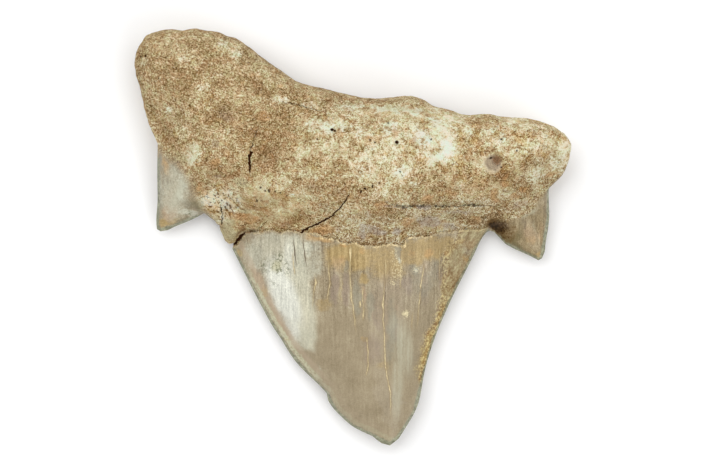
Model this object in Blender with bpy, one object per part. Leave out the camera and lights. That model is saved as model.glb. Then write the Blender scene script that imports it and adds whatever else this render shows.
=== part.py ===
"""Fossil shark tooth, Otodus, lying on its labial face with the lingual (display) face up.

The tooth grew as one piece: a thick two-lobed root, a flat main cusp with two cutting edges, and a
small cusplet on each side. It is modelled as one solid made of two skins that share one outline.
The outline is the silhouette seen from above. The upper skin is the lingual relief and the lower
skin is the flatter labial face, each worked out as a height over the table at every point.

Sizes are in millimetres and become Blender's metres when the mesh is made. X runs across the root,
Y from the main cusp's tip towards the root, and Z up from the table.
"""

import math

import bmesh
import bpy
import numpy as np
from mathutils import Vector, noise
from mathutils.geometry import delaunay_2d_cdt

MM = 0.001

# Driving dimensions
ROOT_WIDTH = 60.0
DRAWN_WIDTH = 60.0
SIDE_PLATEAU = 10.6
PROTUBERANCE = 4.9
CROWN_RIM = 2.3
ROOT_RIM = 5.3
SHOULDER = 5.4

# The silhouette, anticlockwise from the broken left corner of the main cusp, so that the tooth is
# always on the left. Each list is one smooth stretch and corners fall where two stretches meet.
LEFT_CUTTING_EDGE = [
    (-16.7, -1.8), (-12.1, -10.8), (-11.1, -12.6), (-10.0, -14.2), (-9.0, -15.9), (-7.7, -17.7),
    (-6.1, -19.3), (-4.5, -20.8), (-3.7, -21.7), (-3.5, -22.7), (-2.6, -24.0), (-1.4, -25.2),
    (-0.1, -26.3), (1.3, -27.0), (2.6, -27.5), (3.9, -28.4), (5.0, -28.7),
]
RIGHT_CUTTING_EDGE = [
    (5.0, -28.7), (6.2, -27.8), (7.4, -26.1), (8.5, -24.2), (9.1, -22.6), (9.5, -20.3),
    (9.9, -18.3), (11.1, -14.4), (13.2, -9.4), (16.9, -2.0), (17.7, -0.3), (18.3, 0.45), (18.9, 0.7),
]
RIGHT_CUSPLET_INNER = [(18.9, 0.7), (19.4, 0.5), (20.9, -1.1), (22.8, -2.1), (24.6, -2.9), (25.5, -3.4)]
RIGHT_CUSPLET_OUTER = [(25.5, -3.4), (26.0, -3.1), (26.5, -0.9), (27.0, 2.6), (26.9, 5.0), (26.9, 6.5)]
RIGHT_LOBE = [
    (26.9, 6.5), (27.5, 7.1), (28.5, 8.0), (29.3, 9.4), (29.8, 11.1), (30.0, 12.7), (29.3, 13.9),
    (28.2, 14.6), (26.4, 15.5),
]
BASAL_EDGE = [
    (24.4, 16.0), (20.9, 16.4), (18.2, 16.7), (15.2, 16.7), (12.5, 17.5), (10.6, 18.0), (9.6, 18.8),
    (8.2, 19.2), (5.4, 19.0), (2.6, 18.9), (-0.4, 19.3), (-3.2, 20.0), (-5.9, 20.7), (-8.1, 21.4),
    (-10.0, 22.8), (-12.1, 24.2), (-14.7, 26.1),
]
LEFT_LOBE = [
    (-16.5, 27.2), (-17.4, 27.3), (-18.0, 27.8), (-20.2, 28.2), (-21.9, 28.6), (-23.5, 28.2),
    (-25.0, 28.4), (-27.0, 28.1), (-28.5, 27.6), (-29.3, 26.5), (-29.9, 24.9), (-30.0, 22.8),
    (-29.5, 20.6), (-28.8, 17.7), (-28.1, 15.2), (-27.4, 13.6), (-26.9, 12.7),
]
LEFT_CUSPLET_OUTER = [(-26.9, 12.7), (-27.0, 8.3), (-27.0, 4.6), (-27.2, 1.6), (-27.1, 0.9)]
LEFT_CUSPLET_INNER = [(-27.1, 0.9), (-26.6, 0.6), (-24.6, 1.3), (-22.3, 2.2), (-20.6, 3.1)]
NECK_NUB = [
    (-20.6, 3.1), (-19.8, 2.5), (-18.5, 1.4), (-18.2, 0.5), (-17.7, -0.6), (-17.1, -1.1),
    (-16.5, -0.9), (-16.7, -1.8),
]

# Where the root's relief gives way to the cusps: the root meets the left cusplet, laps over the
# main cusp along the enamel line, and meets the right cusplet.
LEFT_CUSPLET_SEAM = [(-27.3, 12.4), (-24.6, 10.4), (-22.2, 7.2), (-20.6, 3.1)]
ENAMEL_LINE = [
    (-17.0, -1.3), (-15.0, -0.1), (-12.3, 0.5), (-7.0, 0.2), (-2.5, -0.5), (2.5, -0.8), (6.5, -0.7),
    (7.4, 0.1), (12.5, 0.6), (18.9, 0.9),
]
RIGHT_CUSPLET_SEAM = [(18.9, 0.9), (22.3, 2.9), (25.6, 5.4), (27.3, 6.8)]

# Each cutting edge runs straight on under the root, so that its blade has sides to be measured
# from there. The way it runs is taken over its last few points.
RUN_UNDER_ROOT = 45.0
RUN_TAKEN_OVER = 6

BASAL_ROUNDING = 8.0
NECK_ROUNDING = 2.6
LABIAL_ROUNDING = 6.5
NECK_SLOPE = 9.0
LEDGE_DROP = 0.4
LEDGE_AT = (4.2, 5.6)
DIVE_UNDER_ROOT = 1.7
CUSPLETS = ("left_cusplet", "right_cusplet")
CUSPLET_KEEL = 1.5
ENAMEL_LIP = 0.25
BLEND = 0.6

# The open break between the neck's left corner and the cusp runs along this line.
CLEFT = [(-16.6, -1.0), (-15.4, -0.3), (-13.6, 0.3), (-12.0, 0.5)]
CLEFT_DEPTH = 2.0

# Mesh spacing: rows that follow the rim closely where the side is steep, then an even grid.
RIM_STEP = 1.0
LINGUAL_ROWS = (0.12, 0.5, 1.1, 1.9, 2.9)
LABIAL_ROWS = (0.15, 0.6, 1.4, 2.6, 4.2)
BLADE_ROWS = (0.5, 0.6, 1.4, 1.9)
LINGUAL_GRID = 1.1
LABIAL_GRID = 1.8
CLEFT_GRID = 0.55
CLEFT_PATCH = 1.9
ROOT_STARTS_AT = 5.0


def clear_scene():
    for obj in list(bpy.data.objects):
        bpy.data.objects.remove(obj, do_unlink=True)


def smoothstep(low, high, value):
    t = np.clip((value - low) / (high - low), 0.0, 1.0)
    return t * t * (3.0 - 2.0 * t)


def dome(share):
    """A quarter ellipse: 0 with an upright wall at the edge, 1 from a share of 1 inwards."""
    return np.sqrt(1.0 - (1.0 - np.clip(share, 0.0, 1.0)) ** 2)


def blend_max(a, b, width):
    """The higher of two heights, with a fillet where they cross."""
    share = np.clip(0.5 + 0.5 * (a - b) / width, 0.0, 1.0)
    return b + (a - b) * share + width * share * (1.0 - share)


def blend_min(a, b, width):
    return -blend_max(-a, -b, width)


def spot(points, centre, radius):
    """A round soft-edged bump: 1 in its middle and 0 from its radius outwards."""
    reach = np.hypot(points[:, 0] - centre[0], points[:, 1] - centre[1])
    return 1.0 - smoothstep(0.0, 1.0, reach / radius)


def smooth_curve(corners, step=RIM_STEP):
    """A Catmull-Rom curve through the points, spaced by chord length, with every point kept."""
    p = np.array(corners, float)
    ends = [2 * p[0] - p[1]], [2 * p[-1] - p[-2]]
    p = np.concatenate([ends[0], p, ends[1]])
    chord = np.maximum(np.hypot(*np.diff(p, axis=0).T), 1e-6)
    slope = [
        (p[i + 1] - p[i]) / chord[i] * chord[i - 1] / (chord[i] + chord[i - 1])
        + (p[i] - p[i - 1]) / chord[i - 1] * chord[i] / (chord[i] + chord[i - 1])
        for i in range(1, len(p) - 1)
    ]
    made = []
    for i in range(1, len(p) - 2):
        count = max(1, round(chord[i] / step))
        t = np.arange(count)[:, None] / count
        rise = t * t * (3 - 2 * t)
        leave, arrive = t * (1 - t) ** 2, -t * t * (1 - t)
        made.append(p[i] + (p[i + 1] - p[i]) * rise
                    + (slope[i - 1] * leave + slope[i] * arrive) * chord[i])
    return np.concatenate(made + [p[-2:-1]])


def signed_distance(points, line):
    """Distance to a line of points, positive on its left."""
    start, along = line[:-1], np.diff(line, axis=0)
    away = points[:, None, :] - start[None]
    length = np.maximum((along ** 2).sum(1), 1e-12)
    share = np.clip((away * along[None]).sum(2) / length, 0.0, 1.0)
    gap = away - share[..., None] * along[None]
    reach = np.hypot(gap[..., 0], gap[..., 1])
    nearest = reach.argmin(1)
    row = np.arange(len(points))
    side = along[nearest, 0] * away[row, nearest, 1] - along[nearest, 1] * away[row, nearest, 0]
    return np.where(side >= 0, 1.0, -1.0) * reach[row, nearest]


def run_on(line, at_start):
    """The line with one more point beyond its start or its end, straight on."""
    n = min(RUN_TAKEN_OVER, len(line) - 1)
    first, second = (line[0], line[n]) if at_start else (line[-1], line[-1 - n])
    way = (first - second) / np.hypot(*(first - second))
    far = (first + way * RUN_UNDER_ROOT)[None]
    return np.concatenate([far, line] if at_start else [line, far])


def lens(one_edge, other_edge):
    """The middle of a blade between two edges: 0 on either edge and a quarter of the width at most."""
    inside = one_edge * other_edge / np.maximum(one_edge + other_edge, 1e-6)
    least = np.minimum(one_edge, other_edge)
    return np.where(least > 0, inside, least)


def split_at(line, corner):
    """The two parts of a line, before and after the point nearest to a corner."""
    middle = int(np.hypot(*(line - np.array(corner)).T).argmin())
    return line[: middle + 1], line[middle:]


class Silhouette:
    """The tooth's outline from above and the lines on it that the relief is measured from."""

    def __init__(self):
        crown = smooth_curve(LEFT_CUTTING_EDGE + RIGHT_CUTTING_EDGE[1:])
        right_cusplet = smooth_curve(RIGHT_CUSPLET_INNER), smooth_curve(RIGHT_CUSPLET_OUTER)
        root = smooth_curve(RIGHT_LOBE + BASAL_EDGE + LEFT_LOBE)
        left_cusplet = smooth_curve(LEFT_CUSPLET_OUTER), smooth_curve(LEFT_CUSPLET_INNER)
        nub = smooth_curve(NECK_NUB)
        stretches = [crown, *right_cusplet, root, *left_cusplet, nub]
        self.rim = np.concatenate([s[:-1] for s in stretches])
        self.closed = np.concatenate([self.rim, self.rim[:1]])
        left_edge, right_edge = split_at(crown, LEFT_CUTTING_EDGE[-1])
        self.blades = {
            "crown": (run_on(left_edge, True), run_on(right_edge, False)),
            "left_cusplet": (run_on(left_cusplet[0], True), run_on(left_cusplet[1], False)),
            "right_cusplet": (run_on(right_cusplet[0], True), run_on(right_cusplet[1], False)),
        }
        nub_edge = [tuple(p) for p in NECK_NUB[1:-2]]
        self.seam = np.array(LEFT_CUSPLET_SEAM + nub_edge + ENAMEL_LINE[1:] + RIGHT_CUSPLET_SEAM[1:])

    def blade(self, name, points):
        one, other = self.blades[name]
        return lens(signed_distance(points, one), signed_distance(points, other))


def rim_height(points):
    """How high the rim lies over the table: low along the cusps, half way up the root's side."""
    tip_lift = 0.9 * smoothstep(-12.0, -28.0, points[:, 1])
    return CROWN_RIM + tip_lift + (ROOT_RIM - CROWN_RIM) * smoothstep(1.0, 13.0, points[:, 1])


def lumps(points, size, seed):
    """Soft hills and hollows about as wide as size, between -1 and 1."""
    return np.array([noise.noise(Vector((x / size, y / size, seed))) for x, y in points]) * 1.6


def root_plateau(points):
    """The lingual height of the root away from its edges: a swelling over the neck, lower lobes."""
    x, y = points.T
    swelling = PROTUBERANCE * np.exp(-((x - 2.0) / 13.5) ** 2) * np.exp(-((y - 8.0) / 15.0) ** 2)
    left_lobe = 0.9 * spot(points, (-21.5, 20.0), 11.0)
    saddle = -0.9 * spot(points, (-10.5, 15.0), 8.0)
    right_hollow = -0.6 * spot(points, (15.5, 9.5), 7.0)
    return SIDE_PLATEAU + swelling + left_lobe + saddle + right_hollow


def root_marks(points):
    """Small dents and bosses that show on the root from a step away, as heights to add."""
    foramen = -0.55 * spot(points, (18.6, 10.0), 1.5)
    boss = 0.35 * spot(points, (24.5, 13.0), 3.2) + 0.3 * spot(points, (-24.5, 24.0), 4.0)
    lobe_dents = -0.35 * spot(points, (-19.0, 16.0), 3.5) - 0.3 * spot(points, (-25.5, 18.5), 3.0)
    basal_ridge = 0.35 * np.exp(-((points[:, 1] - 17.0) / 0.9) ** 2) * spot(points, (-2.0, 17.0), 11.0)
    return foramen + boss + lobe_dents + basal_ridge


def crown_height(outline, points, above_seam):
    keel = 1.0 + 0.38 * smoothstep(-4.0, -26.0, points[:, 1])
    dive = DIVE_UNDER_ROOT * np.maximum(above_seam, 0.0)
    return rim_height(points) + keel * outline.blade("crown", points) - dive


def root_height(outline, points, above_seam, from_rim):
    blade = outline.blade("crown", points)
    for name in CUSPLETS:
        blade = blend_max(blade, CUSPLET_KEEL * outline.blade(name, points), 1.0)
    foot = blend_max(rim_height(points) + blade + ENAMEL_LIP, np.full(len(points), SHOULDER), 1.0)
    climb = smoothstep(0.0, NECK_SLOPE, above_seam)
    ledge = LEDGE_DROP * (1.0 - smoothstep(*LEDGE_AT, above_seam))
    steep_under_crown = 2.4 * np.minimum(above_seam, 0.0)
    height = foot + (root_plateau(points) - foot) * climb - ledge * climb + steep_under_crown
    height += root_marks(points) + (0.28 * lumps(points, 6.0, 1.7) + 0.12 * lumps(points, 2.6, 5.2))
    rounding = NECK_ROUNDING + (BASAL_ROUNDING - NECK_ROUNDING) * smoothstep(4.0, 12.0, points[:, 1])
    rim = rim_height(points)
    return rim + (height - rim) * dome(from_rim / rounding)


def from_cleft(points):
    return np.abs(signed_distance(points, np.array(CLEFT)))


def cleft_depth(points):
    """The open break between the neck's left corner and the cusp, deep at the rim, closing inwards."""
    closing = 1.0 - smoothstep(-16.0, -11.5, points[:, 0])
    return CLEFT_DEPTH * closing * (1.0 - smoothstep(0.25, 0.85, from_cleft(points)))


def lingual_skin(outline, points):
    above_seam = signed_distance(points, outline.seam)
    from_rim = np.abs(signed_distance(points, outline.closed))
    top = root_height(outline, points, above_seam, from_rim)
    top = blend_max(top, crown_height(outline, points, above_seam), BLEND)
    for name in CUSPLETS:
        cusplet = rim_height(points) + CUSPLET_KEEL * outline.blade(name, points)
        top = blend_max(top, cusplet - DIVE_UNDER_ROOT * np.maximum(above_seam, 0.0), BLEND)
    room = 0.6 * (top - rim_height(points))
    return top - np.minimum(cleft_depth(points), room)


def labial_skin(outline, points):
    """The face that the tooth lies on: nearly flat, touching the table on three worn spots."""
    above_seam = signed_distance(points, outline.seam)
    from_rim = np.abs(signed_distance(points, outline.closed))
    rim = rim_height(points)
    worn = 1.9 * spot(points, (-22.0, 20.5), 8.0) + 1.9 * spot(points, (23.0, 11.3), 6.5)
    rough = 0.12 * lumps(points, 5.0, 9.1)
    root = rim * (1.0 - dome(from_rim / LABIAL_ROUNDING)) + 0.9 + rough - worn
    root += 0.5 * np.maximum(-above_seam, 0.0)
    low = blend_min(root, rim - 0.33 * outline.blade("crown", points), BLEND)
    for name in CUSPLETS:
        low = blend_min(low, rim - 0.35 * outline.blade(name, points), BLEND)
    return np.maximum(low, 0.0)


def rows_along_rim(outline, rows):
    """Points in rows inside the rim, left out where a concave corner would crowd them."""
    rim = outline.rim
    way = np.roll(rim, -1, axis=0) - np.roll(rim, 1, axis=0)
    inward = np.stack([-way[:, 1], way[:, 0]], axis=1) / np.hypot(*way.T)[:, None]
    kept = []
    for row in rows:
        on_row = rim + inward * row
        clear = signed_distance(on_row, outline.closed) > 0.93 * row
        steep = (rim[:, 1] > ROOT_STARTS_AT) | (row in BLADE_ROWS)
        placed = []
        for point in on_row[clear & steep]:
            if all(math.dist(point, other) > 0.6 * RIM_STEP for other in placed):
                placed.append(point)
        kept.extend(placed)
    return np.array(kept)


def grid_inside(outline, pitch, root_margin, blade_margin):
    """An even triangular grid that keeps clear of the rows along the rim."""
    low, high = outline.rim.min(0), outline.rim.max(0)
    lines = np.arange(low[1], high[1], pitch * math.sqrt(0.75))
    found = []
    for n, y in enumerate(lines):
        x = np.arange(low[0] + pitch * 0.5 * (n % 2), high[0], pitch)
        found.append(np.stack([x, np.full(len(x), y)], axis=1))
    points = np.concatenate(found)
    margin = np.where(points[:, 1] > ROOT_STARTS_AT, root_margin, blade_margin)
    return points[signed_distance(points, outline.closed) > margin]


def add_skin(bm, rim_verts, outline, inner, heights, faces_up):
    """Fills the outline with triangles through the inner points and lifts them to their heights."""
    count = len(outline.rim)
    points = np.concatenate([outline.rim, inner])
    loop = list(range(count))
    edges = [(i, (i + 1) % count) for i in loop]
    flat = [Vector(p) for p in points]
    inside_only = 1
    made = delaunay_2d_cdt(flat, edges, [loop], inside_only, 1e-5)
    verts = {}
    for number, sources in enumerate(made[3]):
        source = sources[0]
        if source < count:
            verts[number] = rim_verts[source]
        else:
            x, y = points[source]
            verts[number] = bm.verts.new((x, y, heights[source - count]))
    for triangle in made[2]:
        order = triangle if faces_up else triangle[::-1]
        bm.faces.new([verts[i] for i in order])


def tooth_mesh():
    outline = Silhouette()
    rim_z = rim_height(outline.rim)
    bm = bmesh.new()
    rim_verts = [bm.verts.new((x, y, z)) for (x, y), z in zip(outline.rim, rim_z)]
    fine = grid_inside(outline, CLEFT_GRID, 0.5, 0.5)
    coarse = np.concatenate([
        rows_along_rim(outline, LINGUAL_ROWS),
        grid_inside(outline, LINGUAL_GRID, LINGUAL_ROWS[-1] + 0.7, BLADE_ROWS[-1] + 0.7),
    ])
    lingual = np.concatenate([
        fine[from_cleft(fine) < CLEFT_PATCH],
        coarse[from_cleft(coarse) > CLEFT_PATCH + 0.4],
    ])
    add_skin(bm, rim_verts, outline, lingual, lingual_skin(outline, lingual), True)
    labial = np.concatenate([
        rows_along_rim(outline, LABIAL_ROWS),
        grid_inside(outline, LABIAL_GRID, LABIAL_ROWS[-1] + 0.9, BLADE_ROWS[-1] + 0.9),
    ])
    add_skin(bm, rim_verts, outline, labial, labial_skin(outline, labial), False)
    place_on_table(bm)
    mesh = bpy.data.meshes.new("tooth")
    bm.to_mesh(mesh)
    bm.free()
    return mesh


def place_on_table(bm):
    """Centres the tooth over the origin in X and Y, rests it on Z = 0 and turns it into metres."""
    spots = np.array([v.co for v in bm.verts])
    low, high = spots.min(0), spots.max(0)
    centre = Vector(((low[0] + high[0]) / 2, (low[1] + high[1]) / 2, low[2]))
    bmesh.ops.translate(bm, verts=bm.verts, vec=-centre)
    scale = MM * ROOT_WIDTH / DRAWN_WIDTH
    bmesh.ops.scale(bm, verts=bm.verts, vec=(scale, scale, scale))


def fossil_material():
    material = bpy.data.materials.new("fossil")
    material.use_nodes = True
    shader = material.node_tree.nodes["Principled BSDF"]
    shader.inputs["Base Color"].default_value = (0.45, 0.34, 0.20, 1.0)
    shader.inputs["Roughness"].default_value = 0.65
    shader.inputs["Metallic"].default_value = 0.0
    return material


def build_tooth():
    mesh = tooth_mesh()
    mesh.shade_smooth()
    mesh.set_sharp_from_angle(angle=math.radians(50))
    mesh.materials.append(fossil_material())
    tooth = bpy.data.objects.new("tooth", mesh)
    bpy.context.scene.collection.objects.link(tooth)
    return tooth


clear_scene()
build_tooth()
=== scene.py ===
# %% [markdown]
# # A fossil Otodus tooth
# The object is one fossil shark tooth, lying on its flatter face with the display face up.
# The CAD solid already has the outline, the two lobes of the root, the blade of the main cusp and
# the two cusplets. Here it gets what makes it look like a fossil: grainy root bone, a jagged
# enamel line, a glossy cracked crown, and the staining of a long time in phosphate sand.

# %% Load the CAD frame
import math

import bmesh
import bpy
import numpy as np
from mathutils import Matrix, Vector, noise


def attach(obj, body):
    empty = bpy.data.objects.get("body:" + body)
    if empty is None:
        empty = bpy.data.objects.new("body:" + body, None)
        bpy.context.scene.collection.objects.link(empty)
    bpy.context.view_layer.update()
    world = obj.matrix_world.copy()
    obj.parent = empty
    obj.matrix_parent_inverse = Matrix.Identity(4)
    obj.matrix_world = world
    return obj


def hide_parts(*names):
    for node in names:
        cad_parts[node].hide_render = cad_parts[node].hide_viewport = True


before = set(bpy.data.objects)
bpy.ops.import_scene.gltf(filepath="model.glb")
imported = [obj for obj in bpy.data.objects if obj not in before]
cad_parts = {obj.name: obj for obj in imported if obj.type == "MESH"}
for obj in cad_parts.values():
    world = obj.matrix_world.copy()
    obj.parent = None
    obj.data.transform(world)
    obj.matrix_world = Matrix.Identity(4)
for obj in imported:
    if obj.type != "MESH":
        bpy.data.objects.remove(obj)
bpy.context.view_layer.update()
cad_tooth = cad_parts["tooth"]
MM = 0.001

# %% [markdown]
# ## The fine mesh
# The CAD mesh is about one millimetre between points, and the grain of the root is finer. A copy
# could be sculpted by hand or pushed about by a displacement texture alone, but then its outline
# would drift from the solid's. So the copy is subdivided twice with Catmull-Clark and stays on the
# solid. The cutting edges are thin in the real tooth, so edges that turn sharply are creased, with
# their corners, and only the rest is rounded.

# %% Copy, weld and subdivide
SHARP_TURN = math.radians(55)
SHARP_CORNER = math.radians(14)
WELD = 1e-6


def welded_copy(source, name):
    mesh = source.data.copy()
    bm = bmesh.new()
    for v in mesh.vertices:
        bm.verts.new(v.co)
    bm.verts.ensure_lookup_table()
    for p in mesh.polygons:
        bm.faces.new([bm.verts[i] for i in p.vertices])
    bmesh.ops.remove_doubles(bm, verts=bm.verts, dist=WELD)
    bmesh.ops.recalc_face_normals(bm, faces=bm.faces)
    crease = bm.edges.layers.float.new("crease_edge")
    corner = bm.verts.layers.float.new("crease_vert")
    for edge in bm.edges:
        if edge.calc_face_angle(0.0) > SHARP_TURN:
            edge[crease] = 1.0
    for v in bm.verts:
        ways = [(e.other_vert(v).co - v.co).normalized() for e in v.link_edges if e[crease]]
        if len(ways) == 2 and ways[0].dot(-ways[1]) < math.cos(SHARP_CORNER):
            v[corner] = 1.0
    fine = bpy.data.meshes.new(name)
    bm.to_mesh(fine)
    bm.free()
    bpy.data.meshes.remove(mesh)
    piece = bpy.data.objects.new(name, fine)
    bpy.context.scene.collection.objects.link(piece)
    return piece


def subdivided(piece, levels):
    modifier = piece.modifiers.new("subdivide", "SUBSURF")
    modifier.levels = modifier.render_levels = levels
    bpy.context.view_layer.update()
    done = bpy.data.meshes.new_from_object(piece.evaluated_get(bpy.context.evaluated_depsgraph_get()))
    piece.modifiers.clear()
    piece.data = done


tooth = welded_copy(cad_tooth, "fossil_tooth")
subdivided(tooth, 2)
mesh = tooth.data
print("fine mesh:", len(mesh.vertices), "points,", 2 * len(mesh.polygons), "triangles")

# %% [markdown]
# The points are kept as one array in millimetres, so each step below is a sum over all of them,
# which is far quicker than a loop over points.

# %% Points and normals
def read_points():
    co = np.empty(len(mesh.vertices) * 3, np.float64)
    mesh.vertices.foreach_get("co", co)
    return co.reshape(-1, 3) / MM


def read_normals():
    mesh.update()
    n = np.empty(len(mesh.vertices) * 3, np.float64)
    mesh.vertices.foreach_get("normal", n)
    return n.reshape(-1, 3)


def write_points(points):
    mesh.vertices.foreach_set("co", (points * MM).ravel())
    mesh.update()


def edge_ends():
    ends = np.empty(len(mesh.edges) * 2, np.int64)
    mesh.edges.foreach_get("vertices", ends)
    return ends.reshape(-1, 2)


def neighbour_mean(values, ends):
    count = np.bincount(ends.ravel(), minlength=len(values))
    total = np.bincount(ends[:, 0], weights=values[ends[:, 1]], minlength=len(values))
    total += np.bincount(ends[:, 1], weights=values[ends[:, 0]], minlength=len(values))
    return total / np.maximum(count, 1)


def smoothstep(low, high, value):
    t = np.clip((value - low) / (high - low), 0.0, 1.0)
    return t * t * (3.0 - 2.0 * t)


points = read_points()
print("points:", points.shape)

# %% [markdown]
# A few rounds of averaging take out the faint facets that a triangle mesh leaves on a glossy
# surface. The sharp edges and the outline stay where they are, and the cusp's tip gets back the
# fifth of a millimetre that rounding took.

# %% Smoothing
CROWN_RIM, TIP_LIFT, ROOT_LIFT = 2.3, 0.9, 3.0
SMOOTHING_ROUNDS, SMOOTHING_SHARE = 14, 0.6
TIP_LOSS = 0.2


def rim_height(p):
    """Height of the outline over the table, as in the solid."""
    lift = TIP_LIFT * smoothstep(-12.0, -28.0, p[:, 1])
    return CROWN_RIM + lift + ROOT_LIFT * smoothstep(1.0, 13.0, p[:, 1])


points[:, 1] -= TIP_LOSS * smoothstep(-26.5, -28.3, points[:, 1])
normals = read_normals()
ends = edge_ends()
from_rim = np.abs(points[:, 2] - rim_height(points))
free = smoothstep(0.25, 0.6, np.abs(normals[:, 2])) * smoothstep(0.15, 0.7, from_rim)
for _ in range(SMOOTHING_ROUNDS):
    points[:, 2] += SMOOTHING_SHARE * free * (neighbour_mean(points[:, 2], ends) - points[:, 2])
write_points(points)
normals = read_normals()
lingual = smoothstep(-0.25, 0.25, points[:, 2] - rim_height(points))
print("thickness in mm:", round(points[:, 2].max() - points[:, 2].min(), 2))

# %% [markdown]
# ## Where things are on the tooth
# Everything on a tooth is laid out from a few lines: the enamel line, where the crown ends and the
# neck begins, and the cutting edges. Both are runs of points in millimetres, seen from above. Each
# point of the mesh stores its distance to them, below nought on the enamel. A shader can cut a crisp
# border out of a smooth distance, far crisper than the mesh itself.

# %% Enamel line and cutting edges
ENAMEL_LINE = [
    (-27.3, 12.4), (-26.0, 11.4), (-24.4, 10.1), (-22.7, 8.2), (-21.3, 5.2), (-20.5, 3.1), (-19.3, 0.6),
    (-17.6, -1.8), (-16.4, -1.5), (-15.9, -1.2), (-15.5, -0.6), (-15.1, 0.1), (-14.0, 0.45), (-12.5, 0.6),
    (-11.1, 0.85), (-10.6, 0.6), (-10.1, 0.45), (-9.4, 0.65), (-9.0, 0.85), (-8.0, 0.6), (-7.2, 0.45),
    (-5.5, 0.4), (-4.6, 0.2), (-4.2, -0.2), (-2.9, -0.35), (-1.6, -0.85), (-0.3, -1.0), (0.1, -0.75),
    (1.1, -1.35), (2.5, -1.3), (3.6, -1.45), (4.4, -1.2), (5.2, -1.05), (6.4, -1.3), (6.8, -1.35),
    (7.0, -1.0), (7.4, -0.4), (7.9, -0.2), (8.8, -0.2), (9.3, 0.1), (9.6, -0.1), (10.3, 0.0), (11.0, 0.2),
    (12.0, 0.45), (14.0, 0.6), (15.0, 0.85), (17.6, 0.85), (18.9, 1.2), (20.5, 1.85), (22.6, 2.5),
    (24.2, 3.2), (25.2, 4.6), (26.2, 6.0), (27.4, 7.2),
]
LABIAL_ENAMEL_LINE = [
    (-27.4, 13.0), (-25.2, 11.6), (-22.8, 9.6), (-20.3, 6.6), (-16.5, 5.0), (-9.0, 3.6), (-1.0, 3.0),
    (7.0, 3.4), (14.5, 4.2), (19.0, 4.6), (22.5, 5.6), (25.5, 7.2), (27.5, 7.6),
]
CUTTING_EDGES = [
    [(-16.7, -1.8), (-12.1, -10.8), (-9.0, -15.9), (-6.1, -19.3), (-3.6, -21.9), (-2.6, -24.0),
     (-0.1, -26.3), (2.6, -27.5), (5.0, -28.7), (6.2, -27.8), (8.5, -24.2), (9.5, -20.3),
     (11.1, -14.4), (13.2, -9.4), (16.9, -2.0), (18.5, 0.5)],
    [(-27.0, 10.5), (-27.0, 4.6), (-27.2, 1.6), (-26.9, 0.7), (-24.6, 1.3), (-21.4, 2.7)],
    [(19.4, 0.5), (20.9, -1.1), (22.8, -2.1), (25.5, -3.4), (26.0, -3.1), (27.0, 2.6), (26.9, 6.5)],
]
print("points on the enamel line:", len(ENAMEL_LINE))


# %% Distances to a line or an outline
def signed_distance(p, line):
    """Distance in the plan to a line of points, positive on its left."""
    line = np.array(line, float)
    start, along = line[:-1], np.diff(line, axis=0)
    best = np.full(len(p), np.inf)
    side = np.ones(len(p))
    for s, a in zip(start, along):
        away = p[:, :2] - s
        t = np.clip((away @ a) / (a @ a), 0.0, 1.0)
        reach = np.hypot(*(away - t[:, None] * a).T)
        nearer = reach < best
        turn = a[0] * away[:, 1] - a[1] * away[:, 0]
        side[nearer] = np.where(turn[nearer] >= 0, 1.0, -1.0)
        best[nearer] = reach[nearer]
    return side * best


def inside_depth(p, outline):
    """Distance to a closed outline, positive inside it."""
    ring = np.array(outline, float)
    crossings = np.zeros(len(p), int)
    for a, b in zip(ring, np.roll(ring, -1, axis=0)):
        if a[1] == b[1]:
            continue
        spans = (p[:, 1] >= min(a[1], b[1])) & (p[:, 1] < max(a[1], b[1]))
        reach = a[0] + (p[:, 1] - a[1]) * (b[0] - a[0]) / (b[1] - a[1])
        crossings += spans & (p[:, 0] < reach)
    distance = np.abs(signed_distance(p, list(outline) + [outline[0]]))
    return np.where(crossings % 2 == 1, distance, -distance)


cusp_middle = np.array([[5.0, -15.0, 0.0]])
print("enamel line to mid cusp in mm:", round(float(signed_distance(cusp_middle, ENAMEL_LINE)[0]), 1))

# %% [markdown]
# Two more shapes serve all over the tooth: grain, which is fractal noise, and a soft ellipse. The
# enamel line gets a little grain, because the real one is torn.

# %% Grain, ellipses and the distances kept
def grain(p, size, octaves=3, seed=0.0, stretch=(1.0, 1.0, 1.0)):
    """Fractal noise, about -1 to 1, whose largest features are about size wide."""
    q = p / size * np.array(stretch) + seed
    return np.array([noise.fractal(Vector(v), 0.9, 2.0, octaves) for v in q])


def ellipse(p, x, y, across, along, turn, soft=0.6):
    """A soft-edged ellipse of half-widths across and along, turned by so many degrees."""
    c, s = math.cos(math.radians(turn)), math.sin(math.radians(turn))
    dx, dy = p[:, 0] - x, p[:, 1] - y
    reach = np.hypot((dx * c + dy * s) / across, (dy * c - dx * s) / along)
    return 1.0 - smoothstep(1.0 - soft, 1.0 + soft, reach)


RAGGED = 0.16
on_display = lingual > 0.5
ragged = RAGGED * grain(points, 0.9, 3, 3.1)
above_lingual = signed_distance(points, ENAMEL_LINE) + ragged
above_labial = signed_distance(points, LABIAL_ENAMEL_LINE) + ragged
above = np.where(on_display, above_lingual, above_labial)
edge = np.min([np.abs(signed_distance(points, line)) for line in CUTTING_EDGES], axis=0)
print("share of points on enamel:", round(float((above < 0).mean()), 2))

# %% [markdown]
# ## Relief of the surface
# Root bone is porous: it has low swellings, a sandy grain and vessel holes. The enamel is a thin
# smooth shell whose torn edge stands a little proud over the neck. All of it is pushed in or out
# along the surface's normals, from big forms to small, and is kept apart by the enamel line. True
# relief was chosen over bump alone because it also casts shade and shows in the outline. The ledge,
# the slit, the joint, the pores and the vessel hole are on the display face only.

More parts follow.
